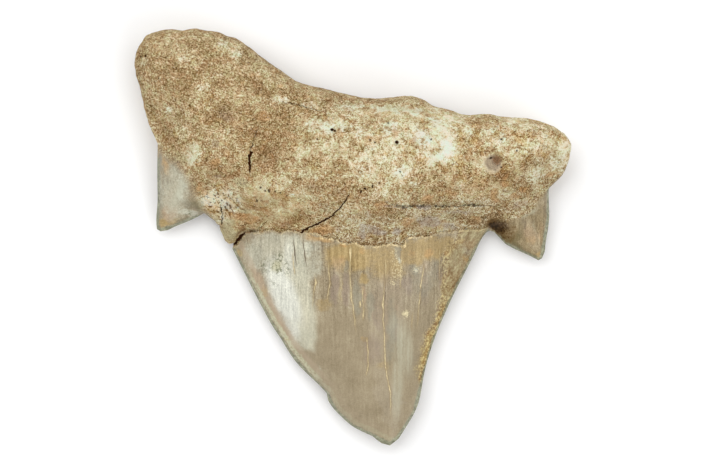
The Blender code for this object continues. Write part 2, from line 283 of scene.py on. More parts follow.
# %% Places of the relief
ROOT_CRACK = [(-7.2, 0.5), (-5.8, 1.2), (-4.8, 1.6), (-3.0, 2.7), (-1.7, 3.9), (-0.8, 5.1), (-0.5, 5.7)]
ROOT_SLIT = [(-12.5, 16.0), (-13.2, 14.2), (-13.8, 12.4), (-14.15, 11.5), (-14.05, 9.1), (-14.0, 7.8)]
NUB_JOINT = [(-18.2, 1.2), (-18.15, 2.0), (-18.05, 3.0), (-18.2, 4.6)]
NECK_LEDGE = [(3.0, 4.3), (6.6, 4.05), (12.0, 4.1), (16.0, 4.15), (19.6, 3.9)]
PORES = [
    (-2.85, 14.5, 0.28), (-2.5, 14.3, 0.18), (5.9, 12.7, 0.28), (4.7, 15.4, 0.14), (2.2, 13.0, 0.17),
    (2.9, 12.7, 0.17), (22.3, 11.7, 0.17), (-29.1, 24.6, 0.17), (-28.4, 24.7, 0.17), (-26.6, 21.5, 0.14),
    (1.05, 6.0, 0.18), (1.6, 6.45, 0.2), (2.6, 6.75, 0.15), (3.45, 7.1, 0.13), (10.6, 13.2, 0.14),
    (20.2, 13.2, 0.16), (-4.9, 13.2, 0.12), (6.3, 8.7, 0.12), (18.75, 10.7, 0.16), (20.1, 9.3, 0.15),
]
FORAMEN = (19.05, 9.95, 1.15)
print("pores:", len(PORES))


# %% Push the relief into the mesh
def bell(value, middle, width):
    return np.exp(-(((value - middle) / width) ** 2))


def groove(p, line, width):
    return bell(signed_distance(p, line), 0.0, width)


def relief(p):
    bone = smoothstep(0.0, 0.35, above)
    coarse = ellipse(p, -18.3, 4.8, 2.6, 1.7, -10)
    height = bone * (0.14 * grain(p, 3.4, 4, 1.0) + 0.055 * grain(p, 0.9, 3, 7.0))
    height += bone * coarse * 0.16 * grain(p, 0.7, 2, 9.0)
    growth = 0.02 * grain(p, 1.4, 2, 4.0, (1.0, 0.12, 0.12)) + 0.03 * grain(p, 8.0, 2, 5.0)
    height += (1.0 - bone) * growth
    torn = 0.65 + 0.5 * grain(p, 1.6, 2, 6.0)
    height -= 0.15 * torn * bell(above, 0.2, 0.2)
    height += 0.04 * bell(above, -0.2, 0.2)
    display = np.zeros(len(p))
    display -= 0.22 * groove(p, ROOT_CRACK, 0.2) + 0.2 * groove(p, ROOT_SLIT, 0.2)
    display -= 0.3 * groove(p, NUB_JOINT, 0.2)
    display -= 0.2 * groove(p, NECK_LEDGE, 0.35)
    x, y, r = FORAMEN
    reach = np.hypot(p[:, 0] - x, p[:, 1] - y) / r
    display += 0.1 * bell(reach, 1.15, 0.22) - 0.38 * (1.0 - smoothstep(0.2, 1.1, reach))
    for x, y, r in PORES:
        display -= 1.6 * r * bell(np.hypot(p[:, 0] - x, p[:, 1] - y), 0.0, r + 0.12)
    display -= 0.55 * ellipse(p, 19.8, 1.1, 1.3, 0.8, -20)
    display += 0.12 * groove(p, [(20.5, 2.1), (22.4, 2.7), (24.8, 3.8)], 0.3)
    return height + display * lingual


inside = smoothstep(0.0, 0.5, np.abs(points[:, 2] - rim_height(points)))
keep_edge = np.where(above < 0.2, inside, 1.0)
points += normals * (relief(points) * keep_edge)[:, None]
points[:, 2] = np.maximum(points[:, 2], 0.0)
write_points(points)
mesh.shade_smooth()
mesh.set_sharp_from_angle(angle=math.radians(60))
print("height after relief in mm:", round(points[:, 2].max(), 2))

# %% [markdown]
# ## Where the stains are
# The fossil's colour isn't even: minerals left cream, brown, rusty and slate-grey patches, on bone and
# enamel alike. Noise alone would put them anywhere, so each kind is one soft map, dabbed on in
# millimetres: middle x and y, half-width across and along, turn in degrees, strength. The turn is left
# out where it is nought. The places are bent by noise first, so no dab stays an ellipse, and the shader
# eats into the borders once more. The tables below the stains hold the bleached slope of the crown with
# the reflection and the highlight painted on it, the smooth pale streaks of painted sheen, the inner line
# of the crust on the right margin, the nook that is painted in shade and the line along its floor where
# that shade is darkest, the crumbled nub, and where the root is paler or smoother.

# %% Stains on bone
BONE_STAINS = {
    "cream": ((210, 194, 157), [
        (8, 13.6, 11, 3.9, -10, 0.78), (3.4, 9.2, 6.5, 3.0, 0.62), (-4.2, 15.2, 4.6, 2.2, -10, 0.6),
        (13, 12.6, 4.6, 3.0, 0.85), (23.5, 12.8, 6.5, 3, -12, 0.6), (-22.4, 24.2, 2.2, 1.3, -20, 0.5),
        (-16.7, 25.8, 2.1, 1.1, -25, 0.8), (-18.2, 4.7, 2.6, 1.8, 0.5), (-24.9, 21.9, 1.0, 0.9, 0.6),
        (-20.5, 20.2, 1.4, 1.0, 0.7), (-21.9, 11.6, 1.6, 2.2, -10, 0.6), (-25.2, 17.2, 0.7, 0.7, 0.7),
        (-16.8, 14.1, 0.9, 0.9, 0.6), (-9.9, 18.7, 2.0, 0.7, -5, 0.6), (-23.6, 14.0, 2.0, 1.2, -10, 0.45),
        (-8, 8.5, 3, 2, 0.3), (28.4, 10.6, 1.5, 3.4, -12, 0.6), (6, 5.2, 5, 0.6, 0.4),
        (24.6, 8.2, 2.0, 1.0, 0.5), (-12, 14, 1.5, 1.0, 0.35), (15, 5.4, 2.5, 0.8, 0.4)]),
    "chalk": ((226, 219, 197), [
        (-21.9, 11.5, 0.9, 1.5, -10, 1.0), (-4.3, 14.9, 1.9, 1.0, -8, 0.9), (-1.2, 14.9, 1.1, 0.8, 0.9),
        (-18.1, 21.8, 0.4, 0.4, 1.0), (12.7, 11.7, 1.3, 1.7, 0.75), (9.4, 13.4, 1.1, 1.3, 0.8),
        (4.7, 14.6, 1.2, 0.9, 0.8), (28.7, 11.4, 0.9, 2.2, -12, 0.6), (6.5, 17.2, 4.5, 0.6, -4, 0.8),
        (-0.6, 17.7, 2.4, 0.6, 2, 0.7), (14.4, 7.3, 0.6, 1.3, 0.7), (8.2, 6.8, 0.8, 0.8, 0.7),
        (1.2, 8.7, 1.2, 1.0, 0.7), (6.4, 8.6, 1.2, 0.9, 0.7), (-8.3, 5.3, 0.6, 0.25, -10, 1.0),
        (-5.05, 7.4, 0.35, 0.32, 1.0), (19.1, 14.7, 0.8, 0.7, 0.7), (16.3, 14.3, 0.8, 0.7, 0.6),
        (20.4, 13.8, 0.6, 1.3, 0.8), (-9.9, 18.7, 1.3, 0.4, -5, 0.8), (-6.0, 17.9, 1.5, 0.4, -12, 0.8),
        (-25.3, 17.2, 0.4, 0.4, 0.9), (-16.8, 14.1, 0.5, 0.5, 0.6), (-20.4, 20.2, 0.9, 0.6, 0.7),
        (-28.7, 24.0, 0.6, 0.5, 0.8), (-15.8, 25.0, 0.7, 0.6, 0.8), (-17.6, 26.4, 0.8, 0.6, 0.9),
        (-22.9, 24.3, 0.6, 0.5, 0.7), (24.0, 12.8, 0.8, 0.7, 0.6), (-19.3, 4.4, 0.8, 0.5, 0.9),
        (-16.9, 5.1, 0.4, 0.3, 0.9), (10.8, 16.0, 1.5, 0.6, -10, 0.6), (0.6, 13.9, 0.9, 0.7, 0.7)]),
    "brown": ((148, 117, 82), [
        (-17.7, 17.0, 1.8, 1.6, 0.7), (-16, 13, 2.6, 2.6, 0.4), (-10.8, 12.6, 3.4, 3, 0.4),
        (-2.2, 9.5, 1.4, 1.1, 0.75), (2.6, 13.2, 0.9, 0.5, 0.7), (10.2, 14.0, 0.7, 0.6, 0.8),
        (16.2, 11.0, 1.6, 1.3, 0.75), (22.9, 15.0, 1.1, 0.6, -20, 0.7), (23.4, 10.4, 2.6, 1.1, 0.7),
        (21, 7.9, 2.6, 1.5, 0.65), (23.2, 6.2, 2.2, 1.2, 10, 0.5), (-14, 8.6, 2.2, 2, 0.4),
        (-23.2, 20.6, 3, 2.2, 0.4), (-26, 25.5, 2, 1.2, 10, 0.4), (-19.5, 22.8, 2, 1, 0.35),
        (20.8, 8.8, 0.6, 0.6, 0.8), (16.5, 2.2, 1.1, 0.9, 0.7), (-12.2, 19.6, 2.4, 0.7, -30, 0.6),
        (13.6, 7.6, 0.6, 0.6, 0.6), (-5.3, 6.4, 1.4, 0.9, 0.5), (5, 3.2, 3.0, 0.9, 0.5),
        (-25.6, 14.0, 1.4, 2.5, 12, 0.45), (19.5, 2.6, 1.2, 0.8, 0.6), (0, 5.0, 2.2, 0.7, 0.35)]),
    "rust": ((186, 146, 100), [
        (12.6, 8.2, 4.6, 2.4, 0.3), (17.5, 6.6, 3.6, 1.6, 0.35), (-4.3, 0.8, 1.7, 0.7, 10, 1.0),
        (-18.8, 10.0, 0.6, 0.6, 0.8), (-15.0, 2.4, 2.5, 0.65, -5, 0.8), (23.5, 6.4, 0.7, 0.45, 0.9),
        (19.4, 5.4, 0.8, 0.8, 0.8), (9.9, 5.1, 1.1, 0.5, 0.75), (7.3, 1.9, 1.4, 0.35, 0.85),
        (-20.4, 5.9, 0.5, 0.45, 1.0), (-21.4, 6.4, 0.6, 0.35, 0.8), (20.9, 7.4, 0.6, 0.6, 0.7),
        (22.0, 5.4, 0.9, 0.4, 0.6), (27.3, 8.5, 0.9, 0.4, 20, 0.7), (3.6, 4.3, 0.8, 0.35, 0.7),
        (13.4, 5.8, 0.9, 0.6, 0.55), (-12.5, 16.2, 1.2, 0.6, 0.5), (8.2, 12.7, 0.6, 0.7, 0.7),
        (5.6, 14.0, 0.45, 0.7, 20, 0.8), (1.9, 13.5, 0.8, 0.35, 0.7), (-24.5, 19.0, 1.2, 0.8, 0.4),
        (0.5, 2.8, 0.7, 0.5, 0.5), (16.7, 2.4, 0.8, 0.7, 0.5), (15.6, 15.6, 0.7, 0.4, 0.5),
        (-8.5, 15.6, 1.5, 0.6, 0.4), (22.3, 1.95, 1.3, 0.25, 15, 0.7), (-6.9, 17.3, 0.9, 0.3, -10, 0.5)]),
    "plum": ((160, 138, 116), [
        (-18.7, 8.4, 0.6, 0.35, 0.8), (-18.8, 12.6, 0.6, 0.4, 0.7), (-17.3, 16.7, 1.4, 1.3, 0.6),
        (-5.4, 6.5, 1.2, 0.7, 0.4), (20.8, 6.2, 0.6, 0.35, 0.8), (19.05, 9.95, 1.0, 0.8, 0.8),
        (-15.3, 5.1, 1.2, 1.0, 0.35), (-1.8, 6.2, 1.1, 0.7, 0.45), (22.9, 4.4, 1.4, 0.5, 15, 0.6),
        (-11.5, 11.0, 2.0, 1.6, 0.3), (24.8, 14.3, 0.6, 0.5, 0.5), (4.2, 2.2, 2.0, 0.6, 0.3)]),
    "slate": ((177, 165, 151), [
        (1.1, 0.4, 0.8, 1.0, 0.85), (3.6, 0.5, 0.9, 0.5, 0.95), (2.3, 0.9, 1.7, 0.6, 0.6),
        (5.8, 0.6, 0.7, 0.6, 0.9), (13.2, 1.3, 1.1, 0.5, 0.85), (10.3, 2.0, 1.7, 0.9, 0.7),
        (9.6, 4.05, 1.1, 0.3, 1.0), (6.9, 3.8, 0.6, 0.35, 0.8), (-2.0, 1.0, 0.6, 0.6, 0.5),
        (5.0, 4.2, 0.9, 0.25, 0.8), (-9.3, 1.5, 0.8, 0.4, 0.5), (-16.9, 4.1, 0.6, 0.5, 0.7),
        (13.8, 3.4, 3.2, 0.4, 0.5), (2.0, 3.0, 0.6, 0.9, 0.4), (-4.0, 4.2, 1.2, 0.5, 0.4)]),
    "lichen": ((188, 181, 148), [
        (-15.3, 7.4, 1.5, 0.6, -10, 0.75), (-14.9, 3.4, 1.2, 0.4, -5, 0.85),
        (-5.2, 3.45, 1.8, 0.28, 4, 0.85), (-17.2, 0.6, 1.0, 1.8, 1.0), (-6.4, 8.0, 1.2, 0.9, 0.5),
        (13.4, 2.7, 1.2, 1.0, 0.5), (-11.5, 4.8, 2.0, 1.0, 0.45), (4.0, 8.0, 2.4, 1.4, 0.35),
        (-12.5, 7.0, 0.8, 0.6, 0.5), (-23.4, 10.6, 1.6, 1.0, -30, 0.5), (6.5, 17.2, 5.0, 0.5, -4, 0.4),
        (-11, 2.6, 1.6, 0.6, 0.4)]),
}
print("stains on bone:", ", ".join(BONE_STAINS))

# %% Stains on the enamel
ENAMEL_STAINS = {
    "ochre": ((178, 154, 102), [
        (-0.2, -2.8, 4.2, 2.0, 0.9), (4.6, -3.6, 2.6, 2.8, 0.8), (10.2, -1.7, 2.6, 1.8, 0.9),
        (7.8, -2.4, 2.2, 2.0, 0.8), (12.9, -1.3, 1.4, 1.4, 0.7), (-4.1, -9.3, 1.0, 1.2, 0.5),
        (1.5, -5.9, 0.7, 0.8, 0.7), (-1.8, -7.0, 0.5, 2.2, 0.4), (12.3, -6.2, 0.5, 1.4, 0.6),
        (-12.3, -7.6, 0.4, 0.7, 20, 1.0), (-9.2, -14.1, 0.5, 0.3, 0.9), (-15.7, -2.2, 0.5, 0.5, 0.7),
        (-26.2, 1.8, 0.9, 0.8, 0.8), (-24.6, 2.2, 1.2, 0.35, 15, 0.6), (25.7, -2.6, 0.8, 0.6, 0.7),
        (24.3, -0.5, 0.8, 0.9, 0.5), (4.3, -17.8, 1.2, 0.7, 0.4), (1.7, -14.2, 0.5, 0.4, 0.6)]),
    "amber": ((190, 156, 106), [
        (-1.2, -1.25, 0.9, 0.35, 0.9), (-4.6, -0.4, 2.2, 0.35, -10, 0.9), (-1.7, -3.1, 0.6, 0.7, 0.6),
        (10.4, -2.4, 0.6, 0.6, 0.7), (13.1, -2.3, 0.5, 0.5, 0.7), (14.8, -0.8, 0.7, 0.4, 20, 0.9),
        (15.5, -3.2, 0.4, 0.4, 0.7), (-25.6, 9.4, 0.5, 1.7, 18, 0.6), (1.4, -1.9, 0.5, 0.5, 0.6),
        (8.2, -2.5, 0.5, 0.4, 0.6), (12.2, -10.3, 0.3, 0.8, -20, 0.7), (10.5, -13.6, 0.4, 0.5, 0.7),
        (9.9, -16.6, 0.35, 1.1, -14, 0.9), (-2.6, -3.4, 0.8, 0.7, 0.35), (24.6, 5.4, 0.5, 0.5, 0.4)]),
    "rose": ((184, 162, 136), [
        (-1.9, -3.8, 1.3, 1.2, 0.5), (1.35, -8.1, 0.35, 1.2, 0.9), (-25.3, 3.4, 1.2, 1.2, 1.0),
        (24.3, 0.2, 0.9, 1.6, 0.6), (25.7, 0.3, 0.4, 1.6, 0.6), (-25.2, 5.3, 0.6, 1.4, -12, 0.6),
        (16.2, -1.0, 0.9, 0.7, 0.7), (13.0, -5.0, 0.6, 1.8, 0.5), (-4.8, -2.5, 1.2, 1.8, 0.3),
        (9.8, -5.0, 0.5, 2.4, 0.5), (11.9, -11.6, 0.4, 1.2, -15, 0.5), (6.2, -9.9, 0.25, 0.6, 0.7),
        (-10.6, -10.9, 0.45, 3.6, 26, 0.6), (-13.2, -5.4, 0.6, 2.2, 24, 0.6),
        (-8.6, -14.2, 0.4, 1.8, 26, 0.6)]),
    "mauve": ((156, 141, 125), [
        (-2.6, -7.2, 0.45, 2.5, 0.9), (-1.05, -7.4, 0.5, 2.4, 0.9), (5.0, -9.4, 0.7, 2.2, 0.7),
        (7.4, -6.6, 0.8, 1.6, 0.7), (9.9, -7.5, 0.6, 3.0, 0.5), (11.9, -5.8, 0.4, 1.6, 0.7),
        (2.6, -15.5, 1.6, 2.5, 0.6), (3.2, -10.5, 0.5, 2.6, 0.7), (4.7, -9.2, 2.2, 4.4, 0.65),
        (13.9, -4.6, 0.5, 1.2, 0.6), (6.6, -1.0, 0.4, 0.8, 0.3), (5.8, -12.5, 0.6, 2.4, 0.6)]),
    "fog": ((152, 147, 129), [
        (0.45, -8.4, 0.55, 2.8, 0.8), (2.3, -9.4, 0.55, 2.2, 0.7), (5.3, -11.4, 0.7, 3.6, 0.8),
        (6.0, -2.4, 0.4, 1.3, 0.8), (-0.95, -4.2, 0.35, 1.0, 0.7), (-13.6, -2.6, 1.3, 1.6, 20, 0.8),
        (-12.7, -4.6, 0.9, 0.8, 0.6), (-5.0, -4.0, 0.9, 1.8, 0.5), (8.5, -4.6, 0.9, 0.7, 0.7),
        (11.2, -4.9, 0.7, 2.0, 0.5), (-10.5, -3.8, 1.9, 1.3, 0.8), (4.9, -16.0, 0.5, 2.6, 0.6),
        (9.4, -6.5, 2.0, 2.6, 0.5), (-23.9, 9.5, 1.0, 1.1, 1.0), (-26.6, 7.5, 0.45, 5.0, 1.0),
        (22.8, 1.2, 0.7, 1.0, 0.4), (26.8, 1.8, 0.35, 3.2, -4, 0.8), (-8.6, -17.5, 1.0, 0.6, -40, 0.4),
        (14.2, -2.8, 0.5, 1.2, 0.5)]),
    "umber": ((156, 141, 110), [(4.7, -9.2, 2.2, 4.2, 0.55)]),
    "olive": ((118, 112, 80), [
        (-21.1, 4.1, 0.6, 1.2, 1.0), (-22.3, 4.5, 1.6, 1.0, 0.6), (21.6, -0.8, 2.4, 0.5, -28, 0.9),
        (24.2, -2.3, 1.4, 0.3, -28, 0.7), (22.5, 0.1, 0.8, 0.9, 0.7), (-10.6, -4.3, 0.6, 0.9, 0.5),
        (-9.2, -4.0, 0.25, 0.9, 0.5), (-23.0, 2.3, 1.6, 0.3, 16, 0.6), (14.9, -2.4, 0.4, 0.8, 0.4)]),
    "ivory": ((196, 193, 174), [
        (-24.6, 6.0, 2.2, 3.6, 0.75), (-24.0, 3.0, 2.0, 1.0, 10, 0.5), (-10.2, -1.8, 4.2, 2.2, 1.0),
        (-13.4, -2.6, 1.8, 2.2, 25, 0.8), (-5.6, -2.6, 1.6, 2.6, 0.6), (-8.5, -4.5, 4.0, 2.0, 0.9),
        (-7.2, -14.2, 1.6, 1.6, 20, 0.7)]),
    "pearl": ((203, 203, 186), [
        (-23.4, 7.6, 0.9, 1.4, 5, 0.5), (-23.9, 5.8, 0.6, 0.8, 0.6), (-22.7, 3.2, 1.3, 0.5, -8, 0.7),
        (8.7, -4.6, 0.4, 0.35, 0.55), (24.9, 1.1, 0.25, 1.8, 0.4), (12.9, -8.6, 0.4, 0.8, -25, 0.7),
        (15.8, -2.0, 0.7, 0.6, 0.7), (-4.7, -18.6, 0.5, 1.4, 10, 0.35), (6.3, -3.3, 0.3, 0.5, 0.9),
        (-6.1, -1.6, 0.6, 1.2, 0.7), (24.1, 3.1, 1.6, 0.28, 32, 0.6), (-7.2, -2.4, 0.35, 1.8, 0.9)]),
}
print("stains on enamel:", ", ".join(ENAMEL_STAINS))

# %% Other places
# The milky slope is bleached enamel with a painted reflection on it. The gleam dabs are a painted
# highlight on its palest part, and the sheen dabs are painted sheen on pale streaks.
MILKY_AND_REFLECTION = [
    (-11.9, -4.2), (-11.9, -5.7), (-11.5, -7.4), (-10.5, -9.3), (-9.5, -10.9), (-8.7, -12.4),
    (-7.7, -14.0), (-6.5, -15.6), (-5.3, -16.0), (-5.0, -14.0), (-5.0, -11.6), (-5.3, -9.1), (-5.9, -6.0),
    (-6.4, -3.5), (-6.9, -1.0), (-7.6, 0.0), (-9.2, 0.2), (-9.6, -2.4),
]
PAINTED_HIGHLIGHT = [(-9.6, -8.0, 1.7, 4.6, 22, 1.0), (-8.6, -12.0, 0.9, 2.6, 22, 0.7), (-8.9, -3.4, 0.8, 3.0, 0.5)]
PAINTED_SHEEN = [
    (6.1, -20.0, 0.7, 4.6, -3, 0.8), (6.8, -15.4, 1.3, 3.4, 5, 0.9), (5.6, -12.6, 0.8, 2.0, 0.5),
    (-23.9, 6.2, 0.6, 2.8, -29, 1.0),
]
CRUST_INSIDE = [
    (15.0, 1.2), (13.6, -1.0), (12.5, -2.6), (12.3, -4.5), (12.4, -6.5), (12.0, -8.2), (11.6, -9.6),
    (11.2, -11.0), (10.6, -12.5), (9.8, -14.0), (9.3, -15.5), (8.8, -17.5), (8.5, -19.6), (8.7, -21.5),
]
# The nook beside the right cusplet gets painted shade, darkest along the line of its deepest part.
CAVE = [
    (18.3, 1.5), (18.8, 2.3), (20.5, 2.3), (22.0, 1.8), (23.3, 1.2), (23.5, 0.0), (22.8, -1.6),
    (21.2, -1.1), (20.0, 0.0), (19.1, 0.7),
]
CAVE_DEEPEST = [(18.8, 1.6), (19.5, 0.9)]
GRAVEL = [(-18.3, 4.6, 2.7, 2.0, -15, 1.0)]
PALE = [
    (4.5, 12, 8, 6, -8, 0.55), (13.0, 12.6, 7, 5, 1.15), (24, 12.3, 6.5, 4.4, -10, 1.0),
    (22, 7.4, 4.5, 3, 0.8), (13.5, 7.8, 5, 3.4, 0.25), (-4.5, 10.6, 6, 3.6, 0.7), (-12, 5, 7, 3.2, 0.7),
    (-0.5, 2.3, 6, 2.4, 0.5), (10.6, 2.4, 7, 2.4, 0.5), (-18.3, 4.6, 2.8, 2.3, -15, 2.6),
]
SMOOTH = [
    (-11.3, 4.0, 5.0, 2.4, -5, 1.0), (-17.0, 0.5, 1.6, 2.2, 1.0), (7, 16.6, 7, 1.1, -5, 0.8),
    (-4.5, 15.0, 3.0, 1.6, 0.6), (11.2, 11.8, 3.2, 2.4, 0.6), (28, 11.4, 1.6, 3.2, -12, 0.8),
    (10.5, 1.6, 3.4, 1.2, 3, 0.8), (2.4, 0.4, 2.4, 1.0, 0.6), (-21.9, 11.8, 1.4, 2.0, -10, 0.7),
]
print("dabs that make the root smoother:", len(SMOOTH))

# %% Maps on the mesh
STAIN_BEND = 0.45
CALM_SHARE = 0.3
DAB_SOFTNESS = 0.55


def store(name, values):
    attribute = mesh.attributes.new(name, "FLOAT", "POINT")
    attribute.data.foreach_set("value", np.asarray(values, np.float32))


def dabbed(p, dabs):
    covered = np.zeros(len(p))
    for x, y, across, along, *turn, strength in dabs:
        shape = ellipse(p, x, y, across, along, sum(turn), DAB_SOFTNESS)
        covered = np.maximum(covered, strength * shape)
    return covered


bent_points = points.copy()
bent_points[:, 0] += STAIN_BEND * grain(points, 1.5, 3, 21.0)
bent_points[:, 1] += STAIN_BEND * grain(points, 1.5, 3, 37.0)
for name, (colour, dabs) in {**BONE_STAINS, **ENAMEL_STAINS}.items():
    store(name, dabbed(bent_points, dabs) * lingual)
calm_points = points + CALM_SHARE * (bent_points - points)
# Maps of the milky slope with its painted reflection, of its painted highlight and of the painted sheen.
milky_and_reflection = smoothstep(-0.7, 1.0, inside_depth(calm_points, MILKY_AND_REFLECTION)) * lingual
store("milky_and_reflection", milky_and_reflection)
store("painted_highlight", dabbed(calm_points, PAINTED_HIGHLIGHT) * lingual)
store("painted_sheen", dabbed(calm_points, PAINTED_SHEEN) * lingual)
crust_depth = signed_distance(bent_points, CRUST_INSIDE)
crust = smoothstep(-0.6, 1.0, crust_depth)
crust *= smoothstep(-21.8, -19.4, points[:, 1]) * smoothstep(19.0, 18.0, points[:, 0]) * lingual
store("crust", crust)
store("crust_rope", bell(crust_depth, 0.25, 0.45) * smoothstep(-16.5, -13.0, points[:, 1]) * lingual)
labial_pale = 0.6 * smoothstep(-0.1, 0.5, grain(points, 12.0, 3, 51.0))
store("pale", dabbed(points, PALE) * lingual + labial_pale * (1.0 - lingual))
# Painted shade in the nook, fading away from its deepest part.
from_deepest = np.abs(signed_distance(calm_points, CAVE_DEEPEST))
cave = smoothstep(-0.7, 0.6, inside_depth(calm_points, CAVE)) * np.clip(1.0 - from_deepest / 4.4, 0.0, 1.0)
store("cave", cave * lingual)
store("smooth", dabbed(bent_points, SMOOTH) * lingual)
store("gravel", dabbed(bent_points, GRAVEL) * lingual)
main_cusp = smoothstep(-20.5, -18.5, points[:, 0]) * smoothstep(19.6, 18.6, points[:, 0])
left_cusplet = smoothstep(-19.5, -20.5, points[:, 0])
right_cusplet = smoothstep(18.6, 20.0, points[:, 0])
store("above", above)
store("edge", edge)
store("left_edge", np.abs(signed_distance(points, CUTTING_EDGES[0][:9])))
store("right_edge", np.abs(signed_distance(points, CUTTING_EDGES[0][8:])))
store("display", lingual)
store("steep_for_painted_light", 1.0 - np.abs(normals[:, 2]))
store("main_cusp", main_cusp)
store("seam_blur", 0.03 + 0.9 * left_cusplet + 0.12 * right_cusplet)
print("maps on the mesh:", len(mesh.attributes))

# %% [markdown]
# ## Helpers for the shader
# The material is a node graph. These short helpers add nodes and join them, so that each later step
# reads as what it does to the surface. All lengths in the graph are millimetres.

# %% Colour and material
HAZE_POWER = 1.15


def linear(colour):
    """Paint for a colour as seen, 0 to 255: the gloss adds some white to it, so paint is deeper."""
    values = [v / 255.0 for v in colour]
    values = [v / 12.92 if v <= 0.04045 else ((v + 0.055) / 1.055) ** 2.4 for v in values]
    return tuple(v ** HAZE_POWER for v in values) + (1.0,)


fossil = bpy.data.materials.new("fossil")
fossil.use_nodes = True
tree = fossil.node_tree
shader = tree.nodes["Principled BSDF"]
print("material:", fossil.name)

# %% Nodes, sums and blends
def feed(socket, source):
    if isinstance(source, bpy.types.NodeSocket):
        tree.links.new(source, socket)
    else:
        socket.default_value = source


def node(kind, **settings):
    made = tree.nodes.new("ShaderNode" + kind)
    for key, value in settings.items():
        setattr(made, key, value)
    return made


def calc(operation, *values, clamp=False):
    made = node("Math", operation=operation, use_clamp=clamp)
    for socket, value in zip(made.inputs, values):
        feed(socket, value)
    return made.outputs[0]


def times(first, *others):
    for other in others:
        first = calc("MULTIPLY", first, other)
    return first


def plus(base, part, share=1.0):
    return calc("MULTIPLY_ADD", part, share, base)


def step(value, low, high, to_low=0.0, to_high=1.0):
    """Rises smoothly from to_low at low to to_high at high."""
    made = node("MapRange", interpolation_type="SMOOTHSTEP")
    for socket, source in zip(made.inputs, (value, low, high, to_low, to_high)):
        feed(socket, source)
    return made.outputs[0]


def most(*masks):
    total = masks[0]
    for mask in masks[1:]:
        total = calc("MAXIMUM", total, mask)
    return total


def mix(share, first, second, blend="MIX"):
    made = node("Mix", data_type="RGBA", blend_type=blend, clamp_factor=True)
    for socket, source in zip((made.inputs[0], made.inputs[6], made.inputs[7]), (share, first, second)):
        feed(socket, source)
    return made.outputs[2]


def ramp(value, stops):
    made = node("ValToRGB")
    band = made.color_ramp
    while len(band.elements) < len(stops):
        band.elements.new(0.5)
    for element, (position, colour) in zip(band.elements, stops):
        element.position, element.color = position, linear(colour)
    feed(made.inputs[0], value)
    return made.outputs[0]


def count_nodes():
    print("nodes so far:", len(tree.nodes))


count_nodes()

# %% [markdown]
# Two textures make the grain: noise, and scattered points, each with a random value of its own. Both
# are solid textures, read at a place in the tooth, so they run round its edges without a seam.

# %% Textures and maps
def scaled(place, factors):
    made = node("VectorMath", operation="MULTIPLY")
    feed(made.inputs[0], place)
    made.inputs[1].default_value = factors
    return made.outputs[0]


def moved(place, seed):
    """The same place somewhere else, so that two textures with two seeds differ."""
    made = node("VectorMath", operation="ADD")
    feed(made.inputs[0], place)
    made.inputs[1].default_value = (17.0 * seed, 11.0 * seed, 5.0 * seed)
    return made.outputs[0]


def shader_noise(place, scale, detail=3.0, roughness=0.55, seed=0.0):
    """Noise around zero."""
    made = node("TexNoise", noise_dimensions="3D")
    feed(made.inputs["Vector"], moved(place, seed))
    for key, value in (("Scale", scale), ("Detail", detail), ("Roughness", roughness)):
        made.inputs[key].default_value = value
    return calc("SUBTRACT", made.outputs["Fac"], 0.5)


def cells(place, scale, seed=0.0):
    """Distance to the nearest scattered point, in millimetres, and a random value for each."""
    made = node("TexVoronoi", voronoi_dimensions="3D")
    feed(made.inputs["Vector"], moved(place, seed))
    made.inputs["Scale"].default_value = scale
    reach = calc("DIVIDE", made.outputs["Distance"], scale)
    chance = node("SeparateColor")
    feed(chance.inputs[0], made.outputs["Color"])
    return reach, chance.outputs[0]


def stored(name):
    return node("Attribute", attribute_name=name).outputs["Fac"]


count_nodes()

# %% [markdown]
# A crack could be an image or a strip of mesh. Here it is drawn in the shader: one float curve bends
# the line to its course, another gives its half-width, and the distance to it makes the mask. So it
# stays sharp at any size. Pores are round spots, made from a distance in the same way.

# %% Drawn lines and spots
def paired(xs, ys):
    return [(float(x), float(y)) for x, y in zip(xs, ys)]


def curve(value, places):
    made = node("FloatCurve")
    bend = made.mapping.curves[0]
    while len(bend.points) < len(places):
        bend.points.new(0.5, 0.5)
    for spot, place in zip(bend.points, places):
        spot.location = place
        spot.handle_type = "VECTOR"
    made.mapping.update()
    feed(made.inputs["Value"], value)
    return made.outputs[0]


def line(along, across, run, soft=0.08, margin=0.0):
    """A drawn line through (along, across, half width); a spot without a half width ends it."""
    s, o, w = np.array([(*spot, 0.0)[:3] for spot in run]).T
    low, span = o.min() - 0.5, np.ptp(o) + 1.0
    place = (s - s[0]) / (s[-1] - s[0])
    t = node("MapRange")
    for socket, source in zip(t.inputs, (along, s[0], s[-1], 0.0, 1.0)):
        feed(socket, source)
    offset = curve(t.outputs[0], paired(place, (o - low) / span))
    middle = calc("MULTIPLY_ADD", offset, span, low)
    half = calc("MULTIPLY", curve(t.outputs[0], paired(place, w / w.max())), w.max())
    reach = calc("ABSOLUTE", calc("SUBTRACT", across, middle))
    inside = calc("SUBTRACT", half, reach)
    core = calc("DIVIDE", inside, soft, clamp=True)
    if not margin:
        return core
    present = calc("MINIMUM", calc("DIVIDE", half, w.max() / 2), 1.0)
    around = calc("DIVIDE", calc("ADD", inside, margin), margin, clamp=True)
    return core, times(around, present)


def spots(place, listed, soft=0.08):
    """Round spots, each (x, y, radius), seen straight down."""
    found = []
    for x, y, r in listed:
        reach = node("VectorMath", operation="DISTANCE")
        feed(reach.inputs[0], place)
        reach.inputs[1].default_value = (x, y, 0.0)
        inside = calc("SUBTRACT", r, reach.outputs["Value"])
        found.append(calc("DIVIDE", inside, soft, clamp=True))
    return most(*found)


count_nodes()

# %% [markdown]
# ## Places in the material
# Object coordinates in millimetres, a copy bent by noise for everything that should wander like a
# real crack does, and the masks for bone, enamel and the display face.

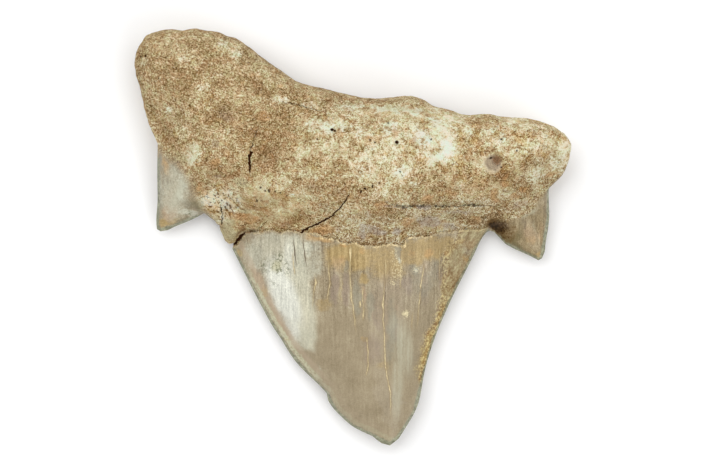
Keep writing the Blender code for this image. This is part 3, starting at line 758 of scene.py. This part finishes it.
# %% Coordinates and masks
def bent_copy(place, scale, reach):
    """The same place pushed about by noise, at most reach millimetres either way."""
    made = node("TexNoise", noise_dimensions="3D")
    feed(made.inputs["Vector"], place)
    made.inputs["Scale"].default_value = scale
    made.inputs["Detail"].default_value = 3.0
    push = node("VectorMath", operation="MULTIPLY_ADD")
    feed(push.inputs[0], made.outputs["Color"])
    push.inputs[1].default_value = (2 * reach,) * 3
    push.inputs[2].default_value = (-reach,) * 3
    total = node("VectorMath", operation="ADD")
    feed(total.inputs[0], place)
    feed(total.inputs[1], push.outputs[0])
    return total.outputs[0]


coords = node("TexCoord")
place = scaled(coords.outputs["Object"], (1 / MM, 1 / MM, 1 / MM))
wandering = bent_copy(place, 1.6, 0.3)
split = node("SeparateXYZ")
feed(split.inputs[0], wandering)
x, y = split.outputs[0], split.outputs[1]
plan = scaled(wandering, (1.0, 1.0, 0.0))
calm = node("SeparateXYZ")
feed(calm.inputs[0], bent_copy(place, 1.1, 0.14))
crack_x, crack_y = calm.outputs[0], calm.outputs[1]
display = step(stored("display"), 0.35, 0.65)
main_cusp = times(stored("main_cusp"), display)

fine = shader_noise(place, 3.1, 3.0, 0.75, 2.0)
finest = shader_noise(place, 6.5, 1.0, 0.6, 8.0)
middling = shader_noise(place, 1.0, 4.0, 0.65, 4.0)
wide = shader_noise(place, 0.3, 3.0, 0.6, 6.0)
breakup = plus(times(middling, 0.9), fine, 0.75)

above = plus(stored("above"), shader_noise(place, 3.2, 4.0, 0.75), 0.75)
blur = stored("seam_blur")
enamel = step(above, blur, times(blur, -1.0))
count_nodes()

# %% [markdown]
# ## Root bone
# Close up, the root looks like packed sand: grains of cream, tan and brown a sixth to a third of a
# millimetre wide. Separate cells for the grains look like a net, so the sand is fine noise through a
# ramp of colours. Its tint wanders between pinkish and yellow-green. The stains are shaded by the same
# noise, so the grain goes on through them.

# %% Ways to lay a colour
LIGHTER = {"cream": 0.17, "chalk": 0.18, "brown": -0.2}
DEEP_BITE = 2.2


def laid(base, colour, *masks):
    """The base painted over with a colour, 0 to 255, where all the masks are."""
    return mix(times(*masks), base, linear(colour))


def tinted(base, factors, *masks):
    """The base multiplied by red, green and blue factors where all the masks are."""
    return mix(times(*masks), base, (*factors, 1.0), "MULTIPLY")


def grained(shade, colour):
    """A colour, 0 to 255, with the surface's grain in it."""
    return mix(1.0, shade, linear(colour), "MULTIPLY")


def eaten(name, bite=1.1):
    """A stain's map with its border eaten away by noise."""
    covered = stored(name)
    share = step(plus(covered, breakup, bite), 0.12, 0.88)
    return times(share, step(covered, 0.0, 0.5))


def stained(colour, shade, stains, strength, bite=1.1):
    """Lays each stain over the colour, shaded by the same grain."""
    for name, (stain, dabs) in stains.items():
        if name not in LIGHTER:
            share = times(eaten(name, bite), strength)
            colour = mix(share, colour, grained(shade, stain))
    return colour


count_nodes()

# %% Sand and tints of the root
neck = times(step(above, 4.6, 3.7), step(x, -8.0, 1.0), display)
steep_for_painted_light = step(stored("steep_for_painted_light"), 0.3, 0.85)
pale = stored("pale")
islands = shader_noise(place, 0.42, 6.0, 0.68, 16.0)
island = times(step(islands, 0.0, 0.035), pale)
sand = plus(times(fine, 1.5), finest, 1.55)
sand = times(sand, step(neck, 0.0, 1.0, 1.0, 1.15), step(stored("smooth"), 0.0, 1.0, 1.05, 0.6))
sand = times(sand, step(island, 0.0, 1.0, 1.05, 0.65))
chalk = eaten("chalk", DEEP_BITE)
mixed = plus(0.47, times(sand, step(chalk, 0.0, 1.0, 1.0, 0.8)))
# Steep sides of the pale parts are painted lighter: painted light that evens out the shade the lamps leave
# there.
for part, share in (
    (middling, 0.8), (wide, 0.7), (pale, 0.055), (island, 0.25), (times(steep_for_painted_light, pale), 0.12),
    *((eaten(name, DEEP_BITE), lift) for name, lift in LIGHTER.items()),
):
    mixed = plus(mixed, part, share)
hue = shader_noise(place, 0.9, 4.0, 0.75, 11.0)
patchy = shader_noise(place, 0.9, 4.0, 0.75, 14.0)
bone = ramp(mixed, [
    (0.00, (100, 75, 45)), (0.25, (146, 118, 80)), (0.47, (181, 156, 118)),
    (0.68, (207, 191, 153)), (0.86, (224, 216, 183)), (1.00, (234, 230, 208)),
])
bone = tinted(bone, (1.05, 0.94, 0.92), step(hue, 0.0, 0.1, 0.0, 0.8), step(neck, 0.0, 1.0, 1.0, 0.4))
bone = tinted(bone, (0.96, 1.03, 0.95), step(hue, 0.0, -0.1, 0.0, 0.8))
bone = tinted(bone, (0.96, 0.83, 0.66), step(patchy, 0.05, 0.15, 0.0, 0.75))
bone = tinted(bone, (0.93, 0.8, 0.6), step(islands, -0.05, -0.11), pale, 0.75)
bone = tinted(bone, (0.98, 1.03, 1.08), island, step(x, 19.0, 24.0, 0.7, 0.1))
bone = tinted(bone, (0.95, 1.01, 1.11), chalk, step(x, 21.0, 25.0, 0.8, 0.1))
grain_shade = calc("MAXIMUM", plus(plus(1.0, sand, 1.3), middling, 0.4), 0.25)
bone = stained(bone, grain_shade, BONE_STAINS, 0.66, 1.8)
bone = tinted(bone, (0.88, 0.9, 0.96), neck, 0.6)
count_nodes()

# %% [markdown]
# The nub beside the left notch is crumbled into light grains, with painted shade in the dark gaps
# between them. All over the root lie small dark pores and pale bits of grit, each on a scattered
# point whose random value lets it show.

# %% Gravel, pores and grit
gravel = times(stored("gravel"), display)
lumps = shader_noise(place, 1.9, 2.0, 0.6, 19.0)
bone = laid(bone, (230, 214, 182), gravel, step(lumps, -0.01, 0.06), 0.7)
# Painted shade in the gaps between the nub's grains.
bone = laid(bone, (112, 74, 32), gravel, step(lumps, -0.04, -0.1), 0.85)

pore_reach, pore_chance = cells(place, 1.3, 3.0)
pore = times(step(pore_reach, 0.15, 0.05), step(pore_chance, 0.55, 0.57))
grit_reach, grit_chance = cells(place, 2.2, 9.0)
grit = times(step(grit_reach, 0.12, 0.05), step(grit_chance, 0.7, 0.72))
bone = laid(bone, (92, 68, 40), pore, 0.6)
bone = laid(bone, (236, 226, 200), grit, 0.5)
count_nodes()

# %% [markdown]
# One large vessel hole lies in the right lobe. Its floor is greyish mauve, its upper right wall is
# painted brown as shade, and a pale rim runs round the lower left.

# %% The vessel hole
hole_x, hole_y, hole_r = FORAMEN
rim_spots = times(spots(plan, [(hole_x - 0.15, hole_y - 0.15, hole_r + 0.3)], 0.35), display)
floor_spots = times(spots(plan, [(hole_x, hole_y, hole_r + 0.05)], 0.3), display)
wall_spots = times(spots(plan, [(hole_x + 0.5, hole_y + 0.45, 0.95)], 0.5), display)
bone = laid(bone, (226, 212, 184), rim_spots, 0.6)
floor_spots = times(floor_spots, step(breakup, -0.2, 0.0, 0.5, 1.0))
bone = mix(times(floor_spots, 0.75), bone, grained(grain_shade, (166, 150, 130)))
# Painted shade on the hole's upper right wall.
bone = mix(times(wall_spots, 0.8), bone, grained(grain_shade, (126, 90, 56)))
count_nodes()

# %% [markdown]
# The long cracks came with the fossil: one runs from the enamel line up over the neck and goes on
# as a row of pores, a short slit stands open in the left lobe, a dark joint cuts the nub beside the
# crown, and a broken line of specks marks the ledge over the neck. Along the ledge a faint dark line
# is painted too, as shade under the root's overhang. Each is a drawn line in the shader: points along
# it with the half-width there, where a point without one ends it.

# %% Root cracks and pores
crack = line(x, y, [
    (-7.3, 0.45), (-7.1, 0.55, 0.24), (-6.6, 0.85, 0.19), (-5.6, 1.35, 0.17), (-4.6, 1.8, 0.18),
    (-3.1, 2.6, 0.14), (-2.3, 3.35, 0.16), (-1.65, 4.0, 0.14), (-1.0, 4.9, 0.16), (-0.8, 5.2, 0.24),
    (-0.6, 5.6, 0.14), (-0.4, 5.85),
], 0.07)
slit = line(y, x, [
    (7.5, -13.95), (8.6, -14.0, 0.06), (9.2, -14.05, 0.14), (10.4, -14.15, 0.2), (11.0, -14.1, 0.22),
    (11.35, -13.95, 0.3), (11.6, -14.1, 0.06), (11.9, -13.95, 0.06), (12.4, -13.75, 0.16),
    (12.8, -13.65, 0.05), (14.2, -13.2, 0.07), (15.0, -12.9, 0.03), (16.2, -12.3),
], 0.07)
hair = line(x, y, [
    (-11.4, 17.9), (-9.5, 18.1, 0.05), (-8.2, 18.15, 0.1), (-6.7, 17.6, 0.1),
    (-5.2, 17.2, 0.06), (-2.5, 16.6),
], 0.07)
joint = line(y, x, [
    (1.5, -18.2), (1.8, -18.15, 0.13), (2.2, -18.1, 0.12), (2.9, -18.0, 0.07), (3.6, -18.15, 0.12),
    (4.6, -18.2),
], 0.08)
side_crack = line(x, y, [(-13.3, 0.8), (-12.9, 1.1, 0.07), (-12.2, 1.7, 0.07), (-11.6, 2.2)], 0.06)
short_crack = line(y, x, [(4.5, -13.15), (4.8, -13.2, 0.14), (5.1, -13.3, 0.06), (5.8, -13.35)], 0.08)
ledge = line(x, y, [
    (4.0, 4.3), (5.0, 4.2, 0.16), (6.6, 4.0, 0.3), (8.6, 4.1, 0.2), (9.5, 4.1, 0.3), (10.6, 4.1, 0.24),
    (12.9, 4.1, 0.24), (14.2, 4.0, 0.1), (15.2, 4.3, 0.18), (16.6, 4.2, 0.22), (17.4, 4.15, 0.18),
    (18.2, 4.15, 0.08), (20.2, 4.0, 0.07), (20.6, 3.9),
], 0.12)
ledge_specks = times(ledge, step(shader_noise(place, 2.6, 3.0, 0.7, 12.0), -0.04, 0.05))
bead_row = spots(plan, [
    (-12.6, 6.5, 0.22), (-12.1, 6.2, 0.16), (-11.5, 6.1, 0.24), (-10.7, 6.1, 0.18), (-9.9, 5.9, 0.14),
    (-9.0, 5.6, 0.18),
], 0.1)
holes = spots(plan, PORES)
faint = times(most(hair, side_crack, short_crack, bead_row), 0.85)
black = times(most(crack, slit, joint, faint, holes), display)
# A faint dark line along the ledge is painted shade under the root's overhang; the specks on it are dark
# marks.
bone = laid(bone, (104, 88, 66), ledge, display, 0.35)
bone = laid(bone, (62, 56, 48), ledge_specks, display, 0.85)
count_nodes()

# %% [markdown]
# ## Enamel
# The crown is glassy and taupe, ochre below the enamel line, with grey and mauve streaks along the
# middle. Growth lines run along the cusp, so its noise is stretched that way. The left slope is milky:
# the enamel is bleached there, and a softbox's reflection is painted over it, with a painted highlight
# on its palest part, as a lamp's glint alone would wander off with the view. The smooth pale streaks
# low on the right slope and on the left cusplet are painted sheen.

# %% Enamel colour
streaks = shader_noise(scaled(wandering, (2.8, 0.12, 0.3)), 1.0, 4.0, 0.6, 1.0)
cloud = shader_noise(place, 0.3, 4.0, 0.6, 3.0)
fibres = shader_noise(scaled(place, (5.0, 0.5, 1.0)), 1.0, 3.0, 0.65, 18.0)
roughcast = step(y, -14.0, -4.0, 0.3, 0.75)
on_cusp = step(x, -20.5, -19.0, 0.35, 1.0)
tone = plus(0.5, times(streaks, step(y, -18.0, -3.0, 0.2, 1.05), on_cusp))
tone = plus(tone, cloud, 0.5)
upright = times(fibres, on_cusp, 1.2)
tone = plus(tone, times(plus(plus(fine, finest), upright), roughcast), 0.9)
glass = ramp(tone, [
    (0.15, (128, 114, 92)), (0.36, (151, 138, 113)), (0.50, (163, 150, 125)), (0.64, (175, 163, 138)),
    (0.85, (198, 188, 166)),
])
milky_reflection_side = step(stored("milky_and_reflection"), 0.0, 0.6)
glass_shade = plus(plus(0.98, calc("SUBTRACT", tone, 0.5), 0.8), fine, 0.2)
glass_shade = plus(glass_shade, times(plus(fibres, fine, 0.4), milky_reflection_side), 0.24)
glass = stained(glass, glass_shade, ENAMEL_STAINS, 0.72, 0.8)
milky_and_reflection = times(step(plus(stored("milky_and_reflection"), breakup, 0.12), 0.02, 0.98), display)
painted_highlight = times(step(plus(stored("painted_highlight"), breakup, 0.2), 0.0, 1.0), display)
# Milky slope: bleached enamel with a softbox's reflection painted over it.
glass = mix(times(milky_and_reflection, 0.85), glass, grained(glass_shade, (201, 198, 178)))
# Painted highlight on the palest part of the milky slope.
glass = mix(times(painted_highlight, 0.75), glass, grained(glass_shade, (227, 228, 218)))
# Painted sheen on the smooth pale streaks of the right slope and the left cusplet.
painted_sheen = times(stored("painted_sheen"), plus(0.45, streaks, 1.2))
glass = laid(glass, (197, 196, 176), painted_sheen)
SPECKLED = [
    (-11.9, -4.1, 1.3), (-10.3, -4.0, 1.7), (-9.2, -4.6, 1.0), (-10.2, -3.0, 1.2), (-10.8, -6.4, 0.8),
    (-22.7, 3.1, 0.9),
]
specks = step(shader_noise(place, 2.4, 3.0, 0.7, 17.0), 0.02, 0.08)
speckled = times(spots(plan, SPECKLED, 0.8), specks, display)
mossy = times(spots(plan, [(-10.6, -4.2, 1.0)], 0.6), display)
glass = laid(glass, (172, 164, 112), mossy, 0.5)
glass = laid(glass, (126, 128, 104), speckled, 0.85)
glass = tinted(glass, (0.9, 0.85, 0.73), step(x, 19.0, 20.5))
count_nodes()

# %% [markdown]
# The crack lines are drawn one by one, because their places make the tooth this tooth. Each is a
# run of points down the cusp, as y, x and half-width, and ends in a point without a half-width. Cream
# ones are filled with calcite, with a painted shadow along their sides. The dark ones are empty.

# %% Courses of the cracks
CREAM_CRACKS = [
    [(-2.0, -8.3), (-3.0, -8.3, 0.07), (-4.8, -8.1, 0.07), (-5.4, -8.0)],
    [(-4.9, -5.4), (-5.9, -5.2, 0.06), (-6.4, -5.1, 0.14), (-7.2, -5.35, 0.07), (-9.5, -5.6, 0.04),
     (-10.5, -5.6)],
    [(-2.6, -3.35), (-3.8, -3.4, 0.06), (-5.0, -3.35, 0.08), (-6.5, -3.2, 0.08), (-7.4, -3.4, 0.06),
     (-8.3, -3.55, 0.1), (-9.6, -3.4)],
    [(-1.3, -0.35), (-1.8, -0.4, 0.2), (-2.6, -0.4, 0.15), (-3.5, -0.5, 0.08), (-4.8, -0.45, 0.08),
     (-6.5, -0.4, 0.08), (-8.4, -0.3, 0.1), (-9.5, -0.05, 0.08), (-11.0, 0.1, 0.1), (-12.2, 0.25, 0.06),
     (-13.8, 0.45)],
    [(-6.8, 1.35), (-7.5, 1.3, 0.08), (-8.9, 1.25, 0.08), (-9.2, 1.3, 0.04), (-10.2, 1.45, 0.07),
     (-11.0, 1.35, 0.12), (-11.7, 1.3)],
    [(-8.7, 1.0), (-9.1, 0.9, 0.1), (-9.6, 0.9, 0.14), (-9.9, 0.9)],
    [(-1.4, 4.45), (-3.0, 4.3, 0.05), (-4.0, 4.45, 0.08), (-5.0, 4.4, 0.05), (-8.2, 4.15, 0.07),
     (-9.2, 4.0, 0.14), (-10.3, 4.15, 0.09), (-11.5, 4.05, 0.08), (-13.3, 4.25, 0.08), (-17.5, 4.35, 0.09),
     (-19.6, 4.7, 0.09), (-21.7, 5.1, 0.1), (-23.5, 5.1, 0.06), (-25.4, 5.15)],
    [(-13.6, 1.85), (-14.4, 1.9, 0.09), (-16.5, 2.0, 0.07), (-17.9, 2.0, 0.08), (-18.7, 1.85, 0.08),
     (-19.3, 1.6)],
    [(-3.4, 9.7), (-4.5, 9.6, 0.07), (-5.5, 9.45, 0.09), (-6.9, 9.25, 0.1), (-7.4, 9.2, 0.02),
     (-7.8, 9.15, 0.07), (-8.6, 9.1, 0.1), (-10.0, 8.95, 0.06), (-11.5, 8.8, 0.05), (-13.2, 8.7)],
    [(-1.3, 6.8), (-2.4, 6.65, 0.07), (-3.6, 6.5, 0.12), (-4.6, 6.45, 0.07), (-6.9, 6.4, 0.06),
     (-7.3, 6.35)],
    [(-1.2, 11.9), (-2.0, 11.85, 0.05), (-5.5, 11.8, 0.05), (-6.2, 11.8)],
    [(-10.2, 8.2), (-11.5, 8.05, 0.06), (-13.2, 8.0)],
]
DARK_CRACKS = [
    [(0.0, -8.35), (-0.6, -8.2, 0.08), (-1.6, -8.1, 0.1), (-2.4, -8.05, 0.13), (-3.4, -7.9, 0.1),
     (-4.8, -7.75)],
    [(-0.2, -6.85), (-1.0, -6.85, 0.09), (-2.5, -6.65, 0.1), (-3.6, -6.5, 0.07), (-6.5, -6.1)],
    [(-0.8, -5.35), (-1.4, -5.35, 0.06), (-2.6, -5.3, 0.04), (-3.4, -5.3)],
    [(-0.8, -4.2), (-1.4, -4.2, 0.06), (-2.6, -4.15, 0.05), (-3.6, -4.1)],
    [(-0.8, -3.25), (-1.6, -3.25, 0.05), (-3.0, -3.3, 0.05), (-3.8, -3.3)],
    [(-4.2, 1.5), (-4.8, 1.45, 0.07), (-5.8, 1.4)],
    [(-4.8, 4.25), (-5.8, 4.32, 0.07), (-8.6, 4.35, 0.08), (-9.2, 4.3)],
    [(-3.6, -0.3), (-4.4, -0.28, 0.06), (-5.8, -0.25, 0.05), (-6.4, -0.25)],
]
print("cracks:", len(CREAM_CRACKS), "cream,", len(DARK_CRACKS), "dark")

# %% Cracks and crumbs painted
cream_lines = [line(crack_y, crack_x, run, 0.07, 0.16) for run in CREAM_CRACKS]
dash = line(x, y, [(5.1, -6.1), (5.3, -6.2, 0.08), (5.7, -6.4, 0.14), (6.0, -6.5)], 0.09)
worn = step(shader_noise(place, 1.3, 3.0, 0.7, 15.0), -0.1, 0.08, 0.3, 0.85)
cream = times(most(dash, *[core for core, around in cream_lines]), worn, display)
crack_side_shadows = times(most(*[around for core, around in cream_lines]), display)
dark_lines = [line(crack_y, crack_x, run, 0.08) for run in DARK_CRACKS]
dark_lines = times(most(*dark_lines), display)
# Painted shadow along both sides of the cream cracks.
glass = laid(glass, (146, 124, 86), crack_side_shadows, 0.4)
glass = laid(glass, (230, 214, 172), cream)
glass = laid(glass, (88, 64, 34), dark_lines, 0.8)
crumbs = times(
    spots(plan, [
        (5.6, -2.3, 0.7), (5.8, -3.4, 0.8), (6.0, -4.5, 1.0), (6.1, -5.5, 0.9), (5.4, -6.3, 0.8),
        (8.7, -4.5, 0.8), (7.2, -10.8, 0.75),
    ], 0.5),
    step(plus(fine, finest, 1.3), 0.09, 0.16), display)
fleck = times(spots(plan, [(7.15, -10.6, 0.55)], 0.5), step(fine, -0.09, -0.02), display)
glass = laid(glass, (226, 214, 176), crumbs, 0.75)
glass = laid(glass, (232, 220, 180), fleck, 0.85)
count_nodes()

# %% [markdown]
# The margins are worn. On the right a crust of ochre, rust and yellow-green lies inside the edge. On
# the left the edge is thin and greyish green, with a yellowish and then a pinkish strip inside it. The
# enamel's torn upper edge shows as a bright lip, with a painted shadow line over it where the neck dips.

# %% Margins of the enamel
mottle = shader_noise(place, 1.7, 5.0, 0.75, 7.0)
speckle = plus(plus(0.5, mottle, 1.6), fine, 0.8)
along_edge = node("CombineXYZ")
feed(along_edge.inputs[0], times(stored("right_edge"), 1.5))
feed(along_edge.inputs[1], times(y, 0.6))
flakes = shader_noise(along_edge.outputs[0], 1.1, 5.0, 0.75, 7.0)
flaky = plus(plus(0.5, flakes, 2.0), fine, 1.0)
crusty = times(step(plus(stored("crust"), breakup, 0.8), 0.1, 0.95), display)
crust = ramp(flaky, [
    (0.12, (112, 84, 50)), (0.34, (150, 124, 84)), (0.50, (168, 151, 115)), (0.64, (184, 172, 132)),
    (0.88, (214, 204, 168)),
])
crust_here = times(crusty, step(y, -3.0, -7.5, 0.6, 0.85))
yellowed = step(y, -7.0, -11.0, 0.0, 0.8)
crust = tinted(crust, (1.04, 0.92, 0.62), yellowed)
glass = mix(crust_here, glass, crust)
flecks = times(crusty, yellowed, step(plus(fine, mottle, 0.6), 0.05, 0.1))
glass = laid(glass, (230, 214, 164), flecks, 0.8)
rope = times(stored("crust_rope"), display)
glass = laid(glass, (128, 92, 50), rope, step(fine, -0.02, -0.09), 0.55)
glass = laid(glass, (222, 204, 152), rope, step(fine, 0.02, 0.09), 0.5)
left_reach = plus(stored("left_edge"), breakup, 0.9)
left_shown = times(main_cusp, step(y, -21.5, -17.0, 0.25, 1.0))
pink_strip = times(step(left_reach, 0.8, 1.1), step(left_reach, 2.0, 1.5))
yellow_strip = times(step(left_reach, 0.35, 0.55), step(left_reach, 1.1, 0.85))
yellow_strip = times(yellow_strip, step(y, -4.5, -6.5, 0.2, 1.0), step(mottle, -0.14, 0.06, 0.25, 1.0))
glass = laid(glass, (187, 171, 149), pink_strip, left_shown, 0.5)
glass = laid(glass, (204, 204, 176), yellow_strip, left_shown, 0.75)
rim_reach = plus(stored("edge"), breakup, 0.4)
glass = mix(times(step(rim_reach, 0.5, 0.18), 0.8), glass, ramp(speckle, [
    (0.2, (92, 98, 82)), (0.5, (142, 146, 125)), (0.8, (186, 188, 164)),
]))
lip_here = times(main_cusp, step(x, -10.0, -2.0, 0.45, 1.0), step(x, 14.0, 8.0, 0.4, 1.0))
lip = times(step(above, -0.3, -0.12), step(fine, -0.04, 0.04, 0.15, 1.0), lip_here)
lip = times(lip, step(middling, -0.1, 0.03, 0.35, 1.0))
glass = laid(glass, (236, 216, 170), lip, 0.9)
# Painted shadow line just over the enamel's torn edge, broken up by noise.
seam_shadow_line = times(step(above, 0.0, 0.05), step(above, 0.34, 0.14))
seam_shadow_line = times(seam_shadow_line, main_cusp, step(fine, -0.01, 0.07, 0.05, 0.8))
bone = laid(bone, (86, 62, 34), seam_shadow_line)
count_nodes()

# %% [markdown]
# Last come the deep places: the hollow between the nub and the crown is painted dark brown, with a
# brown line just above it, and the nook beside the right cusplet gets painted shade, darkest at its
# deepest part.

# %% Deep places and the final colour
umber = line(x, y, [
    (-16.5, -0.5), (-15.9, 0.4, 0.4), (-15.3, 0.85, 0.42), (-14.5, 1.0, 0.26), (-13.5, 0.9, 0.2),
    (-12.6, 0.7),
], 0.3)
hollow = line(x, y, [
    (-16.8, -1.35), (-16.5, -1.15, 0.24), (-16.1, -0.85, 0.4), (-15.7, -0.3, 0.46), (-15.3, 0.15, 0.34),
    (-14.9, 0.5, 0.2), (-14.4, 0.75, 0.1), (-14.0, 0.65, 0.2), (-13.6, 0.6, 0.14), (-13.0, 0.6),
], 0.2)
# Painted shade in the nook beside the right cusplet, broken up by noise.
painted_nook_shade = calc("ADD", stored("cave"), times(plus(breakup, fine, 1.2), 0.75), clamp=True)
painted_nook_shade = times(painted_nook_shade, step(stored("cave"), 0.05, 0.35), display)
colour = mix(enamel, bone, glass)
colour = laid(colour, (122, 92, 56), umber, display, 0.75)
colour = mix(step(painted_nook_shade, 0.1, 0.8, 0.0, 0.95), colour, ramp(painted_nook_shade, [
    (0.2, (156, 132, 92)), (0.5, (122, 96, 56)), (0.78, (82, 56, 22)), (1.0, (46, 28, 6)),
]))
# Speckled painted shade at the nook's upper edge.
nook_shade_specks = times(spots(plan, [(18.1, 2.2, 1.1), (19.6, 2.9, 0.9)], 0.8), display)
colour = laid(colour, (84, 60, 32), nook_shade_specks, step(fine, 0.03, -0.06), 0.7)
dark = most(black, times(hollow, display))
colour = laid(colour, (62, 32, 8), dark)
feed(shader.inputs["Base Color"], colour)
count_nodes()

# %% [markdown]
# ## Gloss and fine relief
# Enamel still shines after fifty million years, so it gets a low roughness and a clear coat. Bone is
# dull. The finest relief, too small for the mesh, goes through a bump node in true millimetres: sand
# on the bone, streaks and cracks in the enamel.

# %% Roughness, coat and bump
COAT, COAT_ROUGHNESS, SPECULAR = 0.5, 0.18, 0.05
BUMP_STRENGTH = 0.8
dull = most(crusty, times(cream, 0.8), times(speckled, 0.6), painted_nook_shade, dark)
enamel_rough = plus(step(dull, 0.0, 1.0, 0.32, 0.65), fine, 0.3)
bone_rough = plus(0.78, finest, 0.3)
not_enamel = calc("SUBTRACT", 1.0, enamel)
inputs = shader.inputs
feed(inputs["Roughness"], plus(times(enamel, enamel_rough), not_enamel, bone_rough))
feed(inputs["Coat Weight"], times(enamel, calc("SUBTRACT", 1.0, dull), COAT))
inputs["Coat Roughness"].default_value = COAT_ROUGHNESS
inputs["Specular IOR Level"].default_value = SPECULAR

bone_height = times(fine, 0.34)
for part, share in ((finest, 0.2), (middling, 0.12), (pore, -0.12), (times(gravel, lumps), 0.6)):
    bone_height = plus(bone_height, part, share)
glass_height = times(streaks, 0.05)
for part, share in ((cream, -0.05), (dark_lines, -0.05), (fine, 0.02), (times(flaky, crusty), 0.1)):
    glass_height = plus(glass_height, part, share)
height = plus(plus(times(enamel, glass_height), not_enamel, bone_height), dark, -0.3)
bump = node("Bump")
bump.inputs["Distance"].default_value = MM
bump.inputs["Strength"].default_value = BUMP_STRENGTH
feed(bump.inputs["Height"], height)
feed(inputs["Normal"], bump.outputs[0])
mesh.materials.clear()
mesh.materials.append(fossil)
print("nodes in the material:", len(tree.nodes))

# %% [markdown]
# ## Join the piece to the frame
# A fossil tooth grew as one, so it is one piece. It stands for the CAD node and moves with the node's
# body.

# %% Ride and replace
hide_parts("tooth")
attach(tooth, "root")
print("pieces: 1, standing for the CAD tooth")

# %% [markdown]
# ## Table and light
# The tooth was photographed on white, so it lies on a pale matt table under soft studio light. The
# main softbox stands up and to the left of the tooth, so the left slope is a little lighter and the
# neck under the root's overhang lies in soft shade. Two weaker ones fill the rest.

# %% Floor and lights
TABLE_SIZE = 3.0
TABLE_COLOUR = (0.92, 0.92, 0.92, 1.0)
WORLD_LIGHT = 0.55


def floor():
    sheet = bpy.data.meshes.new("table")
    h = TABLE_SIZE / 2
    sheet.from_pydata([(-h, -h, 0), (h, -h, 0), (h, h, 0), (-h, h, 0)], [], [(0, 1, 2, 3)])
    piece = bpy.data.objects.new("table", sheet)
    bpy.context.scene.collection.objects.link(piece)
    material = bpy.data.materials.new("table")
    material.use_nodes = True
    matt = material.node_tree.nodes["Principled BSDF"].inputs
    matt["Base Color"].default_value = TABLE_COLOUR
    matt["Roughness"].default_value = 0.9
    sheet.materials.append(material)


def softbox(name, towards, distance, size, power):
    """A square area light in the direction towards, facing the tooth."""
    data = bpy.data.lights.new(name, "AREA")
    data.shape, data.size, data.energy = "SQUARE", size, power
    lamp = bpy.data.objects.new(name, data)
    bpy.context.scene.collection.objects.link(lamp)
    way = Vector(towards).normalized()
    lamp.location = way * distance
    lamp.rotation_euler = way.to_track_quat("Z", "Y").to_euler()


floor()
softbox("key", (-0.55, 0.5, 1.0), 1.2, 1.1, 7.8)
softbox("top", (0.3, 0.3, 1.0), 1.1, 0.9, 3.0)
softbox("fill", (0.6, -0.65, 0.8), 1.1, 0.9, 4.0)
world = bpy.data.worlds.new("studio")
bpy.context.scene.world = world
world.use_nodes = True
background = world.node_tree.nodes["Background"].inputs
background["Color"].default_value = (1.0, 1.0, 1.0, 1.0)
background["Strength"].default_value = WORLD_LIGHT

# %% [markdown]
# ## The camera
# The photograph looks straight down on the tooth, and so does a camera that isn't turned. From its
# height and from the tooth's share of the picture's width follows the lens that gives the same frame.

# %% Camera
PHOTO_WIDTH, TOOTH_WIDTH_IN_PHOTO = 708, 436
TOOTH_WIDTH = 0.060
SILHOUETTE_HEIGHT = 0.004
CAMERA_X, CAMERA_Y, CAMERA_HEIGHT = 0.00008, 0.00001, 0.75
SENSOR = 36.0
seen_width = TOOTH_WIDTH * PHOTO_WIDTH / TOOTH_WIDTH_IN_PHOTO
camera_data = bpy.data.cameras.new("camera")
camera_data.sensor_width = SENSOR
camera_data.lens = SENSOR * (CAMERA_HEIGHT - SILHOUETTE_HEIGHT) / seen_width
camera_data.clip_start = 0.05
camera = bpy.data.objects.new("camera", camera_data)
camera.location = (CAMERA_X, CAMERA_Y, CAMERA_HEIGHT)
bpy.context.scene.collection.objects.link(camera)
bpy.context.scene.camera = camera
bpy.context.scene.view_settings.view_transform = "Standard"
print("lens in mm:", round(camera_data.lens, 1))
